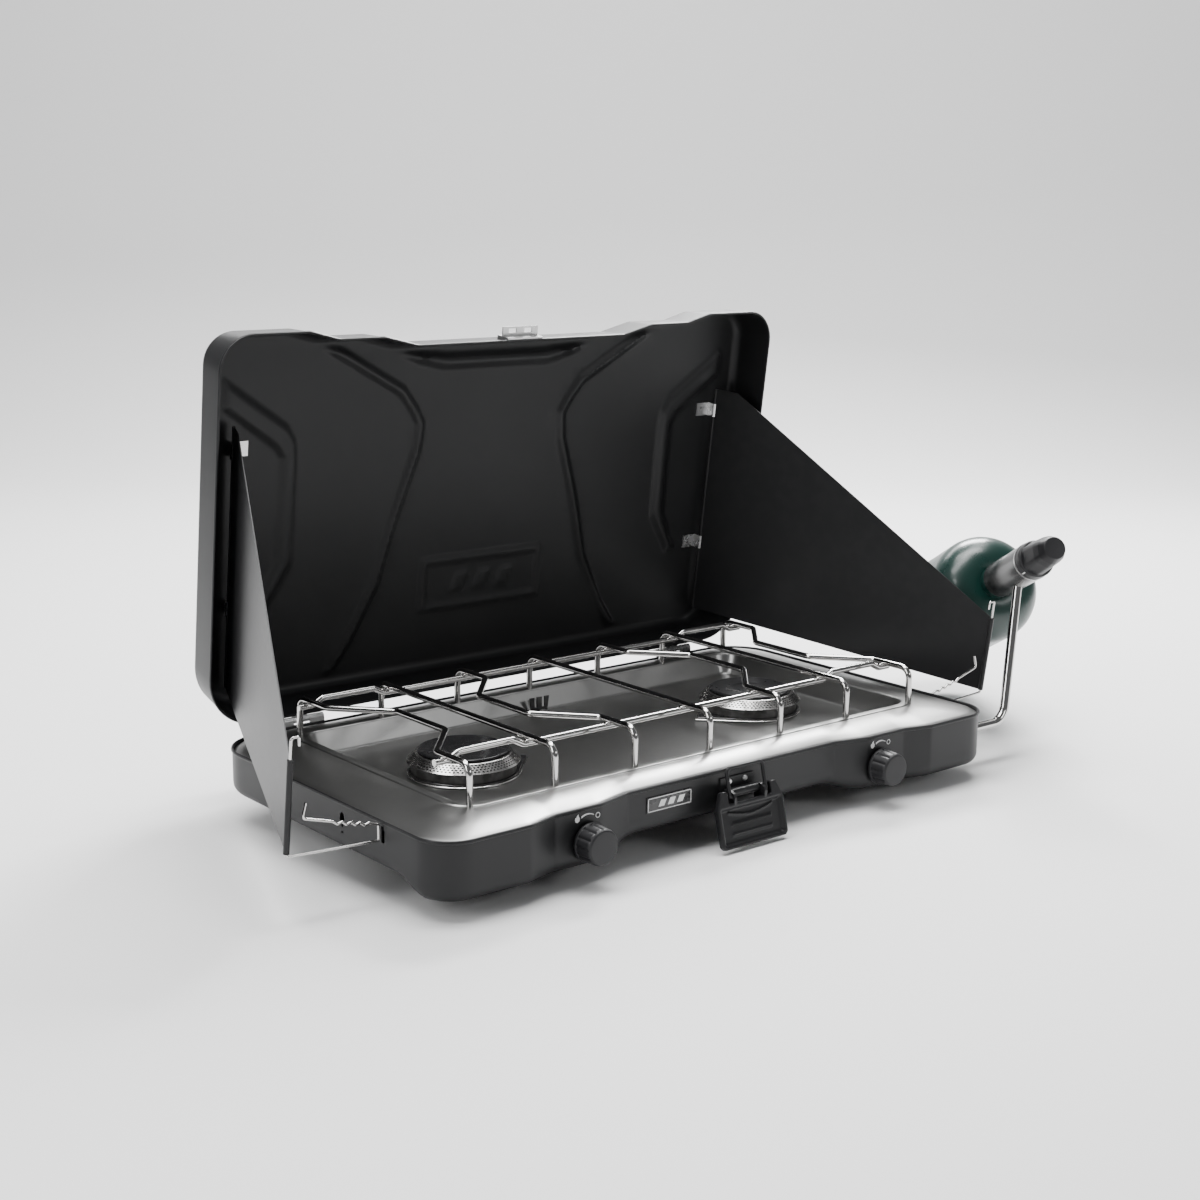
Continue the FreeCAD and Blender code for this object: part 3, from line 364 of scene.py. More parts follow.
# ---------------------------------------------------------------- cooktop
# The drip pan is thin bright rolled steel that drops into the case's lip. It swells up to a ridge that
# carries the grate's legs, and falls from there into a deep well that catches what boils over.
BURNER_X, BURNER_Y = 150.0, 2.0
HOLE = 36.4
PAN_FLOOR = 45.6
rolled_steel = finish_of("rolled drip pan", (0.31, 0.31, 0.306), 0.31, 0.35, metal=1.0, worn=(0.6, 0.6, 0.6),
                         amount=0.0, relief=0.012)


def turns(count):
    """Angles that share one full turn evenly."""
    return [2 * math.pi * k / count for k in range(count)]


def rounded(points, radius, steps=3):
    """Rounds the inner corners of an open (radius, height) profile."""
    pts = [Vector(p) for p in points]
    out = [pts[0]]
    for a, p, b in zip(pts, pts[1:], pts[2:]):
        u, v = (a - p), (b - p)
        r = min(radius, u.length * 0.45, v.length * 0.45)
        s, e = p + u.normalized() * r, p + v.normalized() * r
        for k in range(steps + 1):
            t = k / steps
            out.append(s * (1 - t) ** 2 + p * (2 * t * (1 - t)) + e * t ** 2)
    out.append(pts[-1])
    return [(q.x, q.y) for q in out]


def pan_ring(t, inset, z):
    """A ring of the pan, from its rim (t = 0) to the ridge that the grate stands on (t = 1)."""
    outer = outline(1.4)
    inner = outline(inset, 0.0, 236.0, -117.0, 122.0, 24.0, 24.0)
    return [Vector((*a.lerp(b, t), z)) for a, b in zip(outer, inner)]


bm = bmesh.new()
rings = [pan_ring(0.0, 0, 54.5)]
for k in range(1, 15):
    t = k / 14
    rings.append(pan_ring(t, 0, 55.6 + 7.4 * math.sin(t * math.pi / 2) ** 0.9))
well = rounded([(0.0, 63.0), (0.9, 63.9), (6.6, 63.95), (8.2, 63.2), (15.0, 46.0), (19.0, PAN_FLOOR)], 2.4, 4)
rings += [pan_ring(1.0, i, z) for i, z in well[1:]]
made = add_rings(bm, rings)
rim = [Vector((v.co.x, v.co.y)) for v in made[-1]]
holes = [[(side * BURNER_X + HOLE * math.cos(a), BURNER_Y + HOLE * math.sin(a)) for a in turns(64)]
         for side, _ in SIDES]
grid = np.array([(x, y) for x in range(-210, 211, 10) for y in range(-92, 97, 10)], float)
clear = [np.hypot(grid[:, 0] - side * BURNER_X, grid[:, 1] - BURNER_Y) > 39 for side, _ in SIDES]
fill(bm, [rim] + holes, grid[clear[0] & clear[1]], lambda pts: [Vector((x, y, PAN_FLOOR)) for x, y in pts],
     flip=True)
bmesh.ops.remove_doubles(bm, verts=bm.verts, dist=0.01)
finish_piece("drip pan", bm, rolled_steel, "base", "cooktop_panel", smooth=30)


# ---------------------------------------------------------------- burners
# Each burner's flame comes out of a thin stainless ring punched with rows of small round holes.
# A black enamelled cap closes the top, and is pressed with a shallow dish so that it keeps flat when hot.
# A dark cone stands just inside the ring as painted shade, so that the holes look into darkness.
RING_FOOT, RING_TOP, RING_Z, RING_RISE = 43.4, 37.0, 57.2, 6.1
CAP_Z = 63.6
burner_iron = finish_of("burner iron", (0.05, 0.048, 0.046), 0.55, 0.75, metal=0.3, relief=0.5)
enamel = finish_of("black enamel", (0.012, 0.012, 0.013), 0.20, 0.38, worn=(0.2, 0.19, 0.18), relief=0.05)
stainless = finish_of("stainless", (0.60, 0.59, 0.58), 0.20, 0.26, metal=1.0, worn=(0.6, 0.6, 0.6),
                      amount=0.0, relief=0.0)


def spin(profile, at, along, steps):
    """Turns a profile of (radius, height) a full turn about an axis."""
    bm = bmesh.new()
    axis = Vector(along).normalized()
    side = axis.orthogonal().normalized()
    verts = [bm.verts.new(Vector(at) + side * r + axis * h) for r, h in profile]
    edges = [bm.edges.new(pair) for pair in zip(verts, verts[1:])]
    bmesh.ops.spin(bm, geom=verts + edges, cent=Vector(at), axis=axis, dvec=(0, 0, 0), angle=2 * math.pi,
                   steps=steps, use_merge=True)
    bmesh.ops.remove_doubles(bm, verts=bm.verts, dist=0.001)
    bmesh.ops.recalc_face_normals(bm, faces=bm.faces)
    return bm


def perforated_ring(side):
    """The cone of the flame ring: rows of eight-sided holes, with plain bands above and below."""
    bm = bmesh.new()
    columns, rows = 84, 4
    centre = Vector((side * BURNER_X, BURNER_Y, 0))

    def spot(u, v):
        """A place on the cone: u columns round it, and the share v of its height up."""
        a = 2 * math.pi * u / columns
        r = RING_FOOT - (RING_FOOT - RING_TOP) * v
        return centre + Vector((r * math.cos(a), r * math.sin(a), RING_Z + RING_RISE * v))

    def shrunk(ring, factor, z):
        """The same ring drawn in towards its centre, at another height."""
        return [centre + Vector(((p.x - centre.x) * factor, (p.y - centre.y) * factor, z)) for p in ring]

    def ring_of(u0, u1, v0, v1):
        """One cell of the punched pattern: its border and its hole."""
        um, vm = (u0 + u1) / 2, (v0 + v1) / 2
        outer = [(u0, v0), (um, v0), (u1, v0), (u1, vm), (u1, v1), (um, v1), (u0, v1), (u0, vm)]
        hole = []
        for k in range(8):
            a = math.radians(-135 + 45 * k)
            hole.append((um + 0.335 * math.cos(a), vm + 0.082 * math.sin(a)))
        return outer, hole

    for row in range(rows):
        v0, v1 = 0.06 + row * 0.22, 0.06 + (row + 1) * 0.22
        for c in range(columns):
            shift = 0.5 if row % 2 else 0.0
            outer, hole = ring_of(c + shift, c + 1 + shift, v0, v1)
            a = [bm.verts.new(spot(*p)) for p in outer]
            b = [bm.verts.new(spot(*p)) for p in hole]
            for k in range(8):
                j = (k + 1) % 8
                bm.faces.new((a[k], a[j], b[j], b[k]))
    steps = 2 * columns
    low = [[spot(k / 2, v) for k in range(steps)] for v in (-0.08, 0.0, 0.06)]
    low.insert(0, shrunk(low[0], 0.94, 56.6))
    high = [[spot(k / 2, v) for k in range(steps)] for v in (0.94, 1.0)]
    high.append(shrunk(high[1], 0.95, 63.4))
    add_rings(bm, low)
    add_rings(bm, high)
    bmesh.ops.remove_doubles(bm, verts=bm.verts, dist=0.05)
    bmesh.ops.recalc_face_normals(bm, faces=bm.faces)
    bmesh.ops.solidify(bm, geom=bm.faces[:], thickness=0.5)
    return bm


cap = [(0.0, 0.9), (14.0, 0.9), (17.0, 1.5), (30.0, 2.0), (33.6, 2.3), (34.9, 1.6), (34.9, 0.3),
       (33.5, 0.0), (30.0, 0.0), (30.0, -1.0), (0.0, -1.0)]
shade_lining = [(41.4, 57.4), (41.4, 57.7), (35.8, 62.9), (35.4, 62.6)]
for side, name in SIDES:
    finish_piece("flame ring " + name, perforated_ring(side), stainless, "base",
                 "burner_ring_" + name, smooth=50)
    # Painted shade: a dark cone of burner iron just inside the ring, seen through its holes.
    bm = spin(shade_lining, (side * BURNER_X, BURNER_Y, 0), (0, 0, 1), 96)
    finish_piece("ring lining " + name, bm, burner_iron, "base")
    bm = spin(rounded(cap, 0.7), (side * BURNER_X, BURNER_Y, CAP_Z), (0, 0, 1), 96)
    finish_piece("burner cap " + name, bm, enamel, "base", "burner_cap_" + name)


# ---------------------------------------------------------------- burner base plates
# The burner's base plate is a drop-shaped casting: a bright turned edge below, and a dark step above it.
# Its point reaches towards the middle of the stove.
def drop(side, radius, reach):
    """A circle with a point at reach, seen from above."""
    turn = math.acos(radius / reach)
    arc = [turn + (2 * math.pi - 2 * turn) * k / 60 for k in range(61)]
    points = [(-side * reach, 0.0)] + [(-side * radius * math.cos(t), radius * math.sin(t)) for t in arc]
    return [(side * BURNER_X + x, BURNER_Y + y) for x, y in points]


def plate(side, layers):
    """A closed plate through layers of (radius, reach, height), round the burner's hole."""
    bm = bmesh.new()
    add_rings(bm, [[Vector((x, y, z)) for x, y in drop(side, radius, reach)] for radius, reach, z in layers])
    circle = [(side * BURNER_X + HOLE * math.cos(t), BURNER_Y + HOLE * math.sin(t)) for t in turns(64)]
    for radius, reach, z in (layers[0], layers[-1]):
        fill(bm, [drop(side, radius, reach), circle], [], lambda pts: [Vector((x, y, z)) for x, y in pts])
    bmesh.ops.remove_doubles(bm, verts=bm.verts, dist=0.01)
    return bm


edge_layers = [(43.4, 61.2, 45.75), (44.0, 61.9, 46.1), (44.0, 61.9, 46.8), (43.5, 61.4, 47.2)]
step_layers = [(42.6, 59.6, 47.22), (42.6, 59.6, 48.2), (42.1, 59.0, 48.65)]
for side, name in SIDES:
    finish_piece("burner plate edge " + name, plate(side, edge_layers), stainless, "base",
                 "burner_trim_" + name, smooth=35)
    finish_piece("burner plate step " + name, plate(side, step_layers), enamel, "base",
                 smooth=35)


# ---------------------------------------------------------------- knobs
# The gas knobs are moulded plastic, with a thin skirt and a scalloped grip.
# They are pushed on the valves' spindles, which turn with them.
KNOB_Z = 31.9
SCALLOPS, SCALLOP_DEPTH = 12, 0.9
knob_plastic = finish_of("knob plastic", (0.0125, 0.0125, 0.0138), 0.40, 0.48, worn=(0.06, 0.06, 0.06),
                         amount=0.12, grain="moulded", relief=0.10, specular=0.3)


def knob(side):
    """A turned shape along y, with shallow scallops round its grip."""
    centre = Vector((side * BURNER_X, 0, KNOB_Z))
    rings = []
    shape = rounded([(3.2, -151.4), (14.7, -151.0), (14.7, -153.4), (14.2, -154.0), (13.6, -165.6),
                     (12.2, -168.1), (0.6, -167.9)], 0.9, 4)
    for r, y in shape:
        ring = []
        for a in turns(120):
            depth = 0.0
            if -166.0 < y < -153.8:
                depth = SCALLOP_DEPTH * max(0.0, math.cos(SCALLOPS * a)) ** 2
            reach = r - depth
            ring.append(Vector((centre.x + reach * math.cos(a), y, centre.z + reach * math.sin(a))))
        rings.append(ring)
    bm = bmesh.new()
    made = add_rings(bm, rings)
    bm.faces.new(made[-1])
    return bm


for side, name in SIDES:
    finish_piece("gas knob " + name, knob(side), knob_plastic, "knob_" + name, "knob_" + name)


# ---------------------------------------------------------------- dial print
# The signs over each knob are screen printed in white on the powder coat.
# A small flame stands for lit and a ring for off, and a tapered arc joins them.
print_white = finish_of("white print", (0.72, 0.72, 0.72), 0.45, 0.6, amount=0.0, relief=0.02)
FLAME = [(0, -2.8), (1.9, -1.6), (2.2, 0.2), (1.2, 1.8), (0.9, 3.6), (-0.5, 2.2), (-1.1, 0.9), (-1.8, 1.4),
         (-2.2, -0.4), (-1.6, -2.0)]


def flat_shape(bm, points, y):
    """One flat face of (x, z) points, facing the front."""
    verts = [bm.verts.new((x, y, z)) for x, z in points]
    bm.faces.new(verts)


def arc_spot(t, mid, wide, half_share):
    """A spot on the arc's lower (-1) or upper (1) edge; t runs from the flame (-1) to the ring (1)."""
    return mid + wide * t, 50.6 + 1.6 * (1 - t * t) + half_share * (0.25 + 0.55 * (1 - t) / 2)


for side, name in SIDES:
    bm = bmesh.new()
    y = -149.3
    cx = -159.5 if side < 0 else 142.0
    flat_shape(bm, [(cx + a, 50.0 + b) for a, b in FLAME], y)
    ox = -141.0 if side < 0 else 160.5
    for k in range(24):
        a, b = 2 * math.pi * k / 24, 2 * math.pi * (k + 1) / 24
        corners = ((1.5, a), (2.1, a), (2.1, b), (1.5, b))
        flat_shape(bm, [(ox + r * math.cos(t), 49.6 + r * math.sin(t)) for r, t in corners], y)
    mid, wide = (cx + ox) / 2, abs(ox - cx) / 2 - 3.6
    for k in range(12):
        u, v = k / 12 * 2 - 1, (k + 1) / 12 * 2 - 1
        corners = ((u, -1), (v, -1), (v, 1), (u, 1))
        flat_shape(bm, [arc_spot(t, mid, wide, half_share) for t, half_share in corners], y)
    finish_piece("dial print " + name, bm, print_white, "base")


# ---------------------------------------------------------------- name plate
# A small black plate is stuck to the front between the left knob and the latch.
# It has a pale printed border and three plain slanted bars.
PLATE_X, PLATE_Z = -67, 43.5
badge = finish_of("badge", (0.02, 0.02, 0.021), 0.25, 0.35, worn=(0.2, 0.2, 0.2), relief=0.04)


def block(bm, centre, size, axes=None, bevel=0.0):
    """A block, bevelled if asked, along its own three directions."""
    made = bmesh.ops.create_cube(bm, size=1.0)["verts"]
    m = Matrix.Diagonal((*size, 1.0))
    if axes:
        turn = Matrix((axes[0], axes[1], axes[2])).transposed().to_4x4()
        m = turn @ m
    bmesh.ops.transform(bm, matrix=Matrix.Translation(centre) @ m, verts=made)
    if bevel:
        edges = list({e for v in made for e in v.link_edges})
        bmesh.ops.bevel(bm, geom=edges, affect="EDGES", offset=bevel, segments=2, profile=0.5, material=-1)


bm = bmesh.new()
block(bm, Vector((PLATE_X, -141.75, PLATE_Z)), (44.0, 0.85, 12.0), bevel=0.3)
finish_piece("name plate", bm, badge, "base", "front_badge")
bm = bmesh.new()
y = -142.25
border = [(-21, -5.2, 21, -4.6), (-21, 4.6, 21, 5.2), (-21, -5.2, -20.4, 5.2), (20.4, -5.2, 21, 5.2)]
for x0, z0, x1, z1 in border:
    corners = ((x0, z0), (x1, z0), (x1, z1), (x0, z1))
    flat_shape(bm, [(PLATE_X + x, PLATE_Z + z) for x, z in corners], y)
for k in range(3):
    x = PLATE_X - 11 + 9 * k
    flat_shape(bm, [(x, 41.0), (x + 5.5, 41.0), (x + 8.0, 46.0), (x + 2.5, 46.0)], y)
finish_piece("name plate print", bm, print_white, "base")


# ---------------------------------------------------------------- latch lever
# The latch's lever is moulded plastic with a raised rim, a curved thumb ridge and two finger ribs.
# Two thin ears carry it on a steel pin, and carry the wire loop in front of the pin.
PIVOT = Vector((0, -150.0, 40.5))
DOWN = Vector((0, -math.sin(math.radians(14)), -math.cos(math.radians(14))))
OUT = Vector((0, -math.cos(math.radians(14)), math.sin(math.radians(14))))
LEVER = [(-28, -3), (-34, 11), (-33.5, 37.5), (-31, 40), (31, 40), (33.5, 37.5), (34, 11), (28, -3),
         (22, -3), (22, 6.5), (-22, 6.5), (-22, -3)]
EAR_IN, EAR_OUT = 14.3, 16.7
latch_plastic = finish_of("latch plastic", (0.007, 0.007, 0.008), 0.32, 0.42, worn=(0.05, 0.05, 0.05),
                          amount=0.15, grain="moulded", relief=0.08, specular=0.3)


def distance_to(points, line):
    """Distance of many points to a polyline."""
    best = np.full(len(points), 1e9)
    for a, b in zip(line, line[1:]):
        a, b = np.array(a, float), np.array(b, float)
        d = b - a
        t = np.clip(((points - a) @ d) / (d @ d), 0, 1)
        best = np.minimum(best, np.linalg.norm(points - (a + t[:, None] * d), axis=1))
    return best


def plateau(points, polygon, edge):
    """1 inside a polygon and 0 outside, with a soft slope across its edge."""
    d = distance_to(points, polygon + polygon[:1])
    t = np.clip(np.where(inside(points, [polygon]), d, -d) / edge * 0.5 + 0.5, 0, 1)
    return t * t * (3 - 2 * t)


def moved_in(polygon, inset):
    """An anticlockwise polygon with every side moved in."""
    out = []
    n = len(polygon)
    for i in range(n):
        p0, p1, p2 = (Vector(polygon[k % n]) for k in (i - 1, i, i + 1))
        u, v = (p1 - p0).normalized(), (p2 - p1).normalized()
        a, b = Vector((-u.y, u.x)), Vector((-v.y, v.x))
        out.append(p1 + (a + b) * (inset / (1 + a.dot(b))))
    return out


def plain_area(polygon):
    """A polygon's area, above zero where it runs anticlockwise."""
    return sum(p[0] * q[1] - q[0] * p[1] for p, q in zip(polygon, polygon[1:] + polygon[:1])) / 2


def lever_loop(inset):
    """The lever's outline in its own plane, moved in and with round corners."""
    shape = LEVER if plain_area(LEVER) > 0 else LEVER[::-1]
    corners = moved_in(shape, inset)
    return polyline_fillet([(c.x, c.y, max(1.6 - inset * 0.5, 0.6), 4) for c in corners])


def lever_spot(x, d, h):
    """A spot x across, d down and h out of the lever."""
    return PIVOT + Vector((x, 0, 0)) + DOWN * d + OUT * h


bm = bmesh.new()
add_rings(bm, [[lever_spot(q.x, q.y, h) for q in lever_loop(i)] for i, h in
               ((0.5, 2.0), (0.15, 2.15), (0.0, 2.6), (0.0, 5.8), (0.2, 6.35), (0.7, 6.6))])
front_loop = [(q.x, q.y) for q in lever_loop(0.7)]
grid = np.array([(x, y) for x in np.arange(-33, 33.1, 0.75) for y in np.arange(-2.5, 39.6, 0.75)])
grid = grid[inside(grid, [front_loop])]
edge = front_loop + front_loop[:1]
grid = grid[distance_to(grid, edge) > 0.4]
TRAY = [(-30, 10.5), (30, 10.5), (29.8, 35.6), (28.6, 36.6), (-28.6, 36.6), (-29.8, 35.6)]
THUMB = [(-22 + 44 * k / 16, 13.4 + 3.4 * math.sin(math.pi * k / 16)) for k in range(17)]


def lever_front(points):
    """The lever's front face, with its tray, ribs and thumb ridge."""
    h = 6.6 - 2.6 * plateau(points, TRAY, 1.6)
    for d in (22.0, 30.0):
        rib = [(-20, d - 0.9), (20, d - 0.9), (20, d + 0.9), (-20, d + 0.9)]
        h += 1.4 * plateau(points, rib, 1.0)
    t = np.clip(distance_to(points, THUMB) / 1.5, 0, 1)
    h += 1.1 * (1 - t * t) ** 2
    return [lever_spot(x, d, v) for (x, d), v in zip(points, h)]


fill(bm, [front_loop], grid, lever_front)
back_loop = [(q.x, q.y) for q in lever_loop(0.5)]
fill(bm, [back_loop], [], lambda pts: [lever_spot(x, d, 2.0) for x, d in pts], flip=True)
ear = [(3.4, -9.0), (3.6, 0.0), (2.5, 2.5), (0.0, 3.6), (-3.0, 3.4), (-7.0, 1.6), (-8.3, -1.0), (-8.4, -9.0)]
ear_loop = polyline_fillet([(y, z, 1.2, 4) for y, z in ear])
pin_holes = [[(y + 1.58 * math.cos(t), z + 1.58 * math.sin(t)) for t in turns(24)]
             for y, z in ((0.0, 0.0), (-5.0, -1.0))]
ear_loops = [[(q.x, q.y) for q in ear_loop]] + pin_holes
for side, _ in SIDES:
    for x, flip in ((EAR_IN, side > 0), (EAR_OUT, side < 0)):
        fill(bm, ear_loops, [], lambda pts: [PIVOT + Vector((side * x, y, z)) for y, z in pts], flip=flip)
    for loop in ear_loops:
        add_rings(bm, [[PIVOT + Vector((side * x, y, z)) for y, z in loop] for x in (EAR_IN, EAR_OUT)])
bmesh.ops.remove_doubles(bm, verts=bm.verts, dist=0.005)
finish_piece("latch lever", bm, latch_plastic, "latch_lever", "latch_lever", smooth=35)


# ---------------------------------------------------------------- lid
# The lid is the same kind of pressing as the case, with ribs drawn into its panel to keep the sheet stiff.
# Its edge is rolled over, and its inside is where the two windscreens fold away.
HINGE_Y, HINGE_Z, LID_OPEN = 160.1, 61.2, math.radians(82.6)
ALONG = Vector((0, -math.cos(LID_OPEN), math.sin(LID_OPEN)))
BEHIND = Vector((0, math.sin(LID_OPEN), math.cos(LID_OPEN)))
HINGE = Vector((0, HINGE_Y, HINGE_Z))


def lid_spot(x, along, behind):
    """A spot on the open lid, along its panel from the hinge and behind its rim."""
    return HINGE + Vector((x, 0, 0)) + ALONG * along + BEHIND * behind


def mirrored_line(line):
    """The same line on the other half of the lid."""
    return [(-x, y) for x, y in line]


RIB = [(-176, 302), (-94, 256), (-80, 238), (-74, 227), (-76, 205), (-96, 146), (-111, 91), (-135, 45),
       (-157, 14)]
BAND = [(-256, 272), (-200, 233), (-192.5, 220), (-191.5, 199), (-193, 120), (-214, 85), (-222, 88),
        (-217, 96), (-204, 123), (-203, 208), (-209.5, 218), (-256, 252)]
LEDGE = [(-112, 294), (-79, 280), (-54, 274), (54, 274), (79, 280), (112, 294), (100, 296), (74, 287),
         (50, 283), (-50, 283), (-74, 287), (-100, 296)]
PLAQUE = [(-64, 60), (64, 60), (64, 108), (-64, 108)]
PLAQUE_IN = [(-58, 66), (58, 66), (58, 102), (-58, 102)]
BARS = [[(x, 76), (x + 12, 76), (x + 18, 92), (x + 6, 92)] for x in (-33, -9, 15)]


def emboss(points):
    """How far the panel is pressed inwards at each (x, along)."""
    h = np.zeros(len(points))
    for line in (RIB, mirrored_line(RIB)):
        d = np.clip(distance_to(points, line) / 6.0, 0, 1)
        h = np.maximum(h, 2.6 * (1 - d * d) ** 2)
    for polygon in (BAND, mirrored_line(BAND)[::-1]):
        h = np.maximum(h, 2.6 * plateau(points, polygon, 4.0))
    h = np.maximum(h, 3.2 * plateau(points, LEDGE, 4.0))
    h += 1.2 * plateau(points, PLAQUE, 1.6) - 0.9 * plateau(points, PLAQUE_IN, 1.6)
    for bar in BARS:
        h += 0.9 * plateau(points, bar, 1.4)
    return h


def lid_ring(inset, off):
    """The case's outline carried over to the lid, off behind its rim."""
    return [lid_spot(p.x, HINGE_Y - p.y, off) for p in outline(inset)]


GRID = 2.4
panel_2d = [(p.x, HINGE_Y - p.y) for p in outline(12.0)]
fine = np.array([(x, y) for x in np.arange(-268, 268.1, GRID) for y in np.arange(16, 316, GRID)])
fine = fine[inside(fine, [[(x * 0.993, 160 + (y - 160) * 0.987) for x, y in panel_2d]])]
closed_lines = [b + b[:1] for b in (BAND, mirrored_line(BAND), LEDGE, PLAQUE, PLAQUE_IN, *BARS)]
features = [RIB, mirrored_line(RIB)] + closed_lines
near = np.zeros(len(fine), bool)
for line in features:
    near |= distance_to(fine, line) < 8.0
coarse = (np.round((fine[:, 0] + 268) / GRID) % 5 == 0) & (np.round((fine[:, 1] - 16) / GRID) % 5 == 0)
fine = fine[near | coarse]
edge_line = panel_2d + panel_2d[:1]

bm = bmesh.new()
outside = [(0.2, 0.1), (-0.5, 0.2), (-1.0, 1.0), (-1.0, 2.0), (-0.5, 2.9), (0.1, 3.2), (0.5, 8.0)]
outside.append((1.8, 20.0))
outside += [(3 + 9 * (1 - math.cos(t)), 31 + 9 * math.sin(t)) for t in quarter(7)]
within = [(0.2, 0.1), (0.9, 0.4), (1.2, 3.2), (1.6, 8.0), (2.9, 20.0)]
within += [(4 + 8 * (1 - math.cos(t)), 31 + 8 * math.sin(t)) for t in quarter(7)]
for rings, level, flip in ((outside, 40.0, False), (within, 39.0, True)):
    add_rings(bm, [lid_ring(i, o) for i, o in rings])

    def place(points, level=level):
        """The panel at a level, pressed in by its ribs, which fade out towards the edge."""
        fade = np.clip(distance_to(points, edge_line) / 7.0, 0, 1)
        depth = level - emboss(points) * fade * fade * (3 - 2 * fade)
        return [lid_spot(x, a, d) for (x, a), d in zip(points, depth)]

    fill(bm, [panel_2d], fine, place, flip)
bmesh.ops.remove_doubles(bm, verts=bm.verts, dist=0.01)
finish_piece("lid shell", bm, powder_coat, "lid", "lid_shell", smooth=35)


# ---------------------------------------------------------------- regulator
# The regulator's grip is moulded plastic with six flats and a round collar, marked with one white line.
# It is fixed over the end of the regulator's housing, on the same axis as the gas cylinder.
DIP, TURN = math.radians(24.8), math.radians(26.6)
away = Vector((math.cos(DIP) * math.sin(TURN), math.cos(DIP) * math.cos(TURN), -math.sin(DIP)))
mouth = Vector((385.0, -74.4, 143.5))
grip_at = mouth - away * 67.6
side_way = away.cross(Vector((0, 0, 1))).normalized()
up_way = side_way.cross(away).normalized()
shape = rounded([(0.0, 0.0), (16.4, 0.0), (16.4, 8.6), (14.9, 9.6), (13.6, 30.0), (12.4, 38.0), (9.5, 45.8),
                 (0.0, 45.8)], 1.0, 4)
rings = []
for r, h in shape:
    ring = []
    for a in turns(96):
        flat = 0.0
        if 9.4 < h < 44:
            off_middle = ((a + math.pi / 6) % (math.pi / 3)) - math.pi / 6
            flat = r * (1 - min(1.0, 0.93 / math.cos(off_middle)))
        rr = max(r - flat, 0.001)
        ring.append(grip_at - away * h + side_way * (rr * math.cos(a)) + up_way * (rr * math.sin(a)))
    rings.append(ring)
bm = bmesh.new()
add_rings(bm, rings)
bmesh.ops.remove_doubles(bm, verts=bm.verts, dist=0.01)
finish_piece("regulator grip", bm, knob_plastic, "base", "regulator_grip")
bm = bmesh.new()
to_front = Vector((-0.62, -0.76, 0.21))
toward = (to_front - away * to_front.dot(away)).normalized()
block(bm, grip_at - away * 4.4 + toward * 16.35, (1.1, 6.0, 0.4), axes=(away.cross(toward), away, toward))
finish_piece("grip line", bm, print_white, "base")


# ---------------------------------------------------------------- supply pipe
# The supply pipe is drawn steel tube, nickel plated, with one bend.
# It pushes into the case at the height of the knobs, and into the regulator at its other end.
PIPE_Y, PIPE_RADIUS = -124.5, 4.0
nickel = finish_of("nickel wire", (0.60, 0.59, 0.58), 0.07, 0.12, metal=1.0, worn=(0.4, 0.36, 0.32),
                   amount=0.0, relief=0.0)


def wire_path(corners, radii, steps):
    """Straight runs through corners in space, with each inner corner turned on its own radius."""
    out = [corners[0]]
    for i in range(1, len(corners) - 1):
        a = (corners[i - 1] - corners[i]).normalized()
        b = (corners[i + 1] - corners[i]).normalized()
        half = a.angle(b) / 2
        centre = corners[i] + (a + b).normalized() * (radii[i - 1] / math.sin(half))
        start = corners[i] + a * (radii[i - 1] / math.tan(half)) - centre
        end = corners[i] + b * (radii[i - 1] / math.tan(half)) - centre
        full = start.angle(end)
        for k in range(steps + 1):
            t = full * k / steps
            out.append(centre + (start * math.sin(full - t) + end * math.sin(t)) / math.sin(full))
    return out + [corners[-1]]


def sweep(bm, points, radius, steps):
    """A round wire along points, closed at both ends."""
    rings = []
    side = None
    for i, p in enumerate(points):
        a = points[max(i - 1, 0)]
        b = points[min(i + 1, len(points) - 1)]
        d = (b - a).normalized()
        side = (side - d * side.dot(d)).normalized() if side else d.orthogonal().normalized()
        other = d.cross(side)
        rings.append([p + side * (math.cos(t) * radius) + other * (math.sin(t) * radius)
                      for t in turns(steps)])
    made = add_rings(bm, rings)
    bm.faces.new(list(reversed(made[0])))
    bm.faces.new(made[-1])


pipe = wire_path([Vector((266.0, PIPE_Y, KNOB_Z)), Vector((335.0, PIPE_Y, KNOB_Z)), mouth - away * 40.0],
                 [18.0], 20)
pipe[-1] = pipe[-1] - (pipe[-1] - pipe[-2]).normalized() * 15.5
bm = bmesh.new()
sweep(bm, pipe, PIPE_RADIUS, 32)
finish_piece("supply pipe", bm, nickel, "base", "supply_pipe")


# ---------------------------------------------------------------- grate
# The pan support is seven bent wires, resistance welded over two long rails, then plated bright.
# Each weld leaves a small flattened bead where the wires meet.
TOP, FOOT = 92.9, 62.4
WIRE, PITCH = 2.5, 75.0
RAILS = (("front", -80.0), ("rear", 105.0))
for index in range(7):
    x = PITCH * (index - 3)
    shift = {0: 37, 2: -37, 4: 37, 6: -37}.get(index, 0)
    line = [Vector((x, -111.5, FOOT)), Vector((x, -111.5, TOP))]
    radii = [9.0]
    if shift:
        stops = [(-71.5, x), (-29.5, x + shift), (35.0, x + shift), (77.0, x)]
        line += [Vector((across_x, y, TOP)) for y, across_x in stops]
        radii += [9.0] * 4
    line += [Vector((x, 117.0, TOP)), Vector((x, 117.0, FOOT))]
    bm = bmesh.new()
    sweep(bm, wire_path(line, radii + [9.0], 10), WIRE, 24)
    for _, y in RAILS:
        bead = Matrix.Translation((x, y, TOP - 2.4)) @ Matrix.Diagonal((3.4, 3.0, 1.5, 1.0))
        bmesh.ops.create_icosphere(bm, subdivisions=3, radius=1.0, matrix=bead)
    finish_piece("grate wire %d" % (index + 1), bm, nickel, "grate",
                 "grate_wire_%d" % (index + 1))
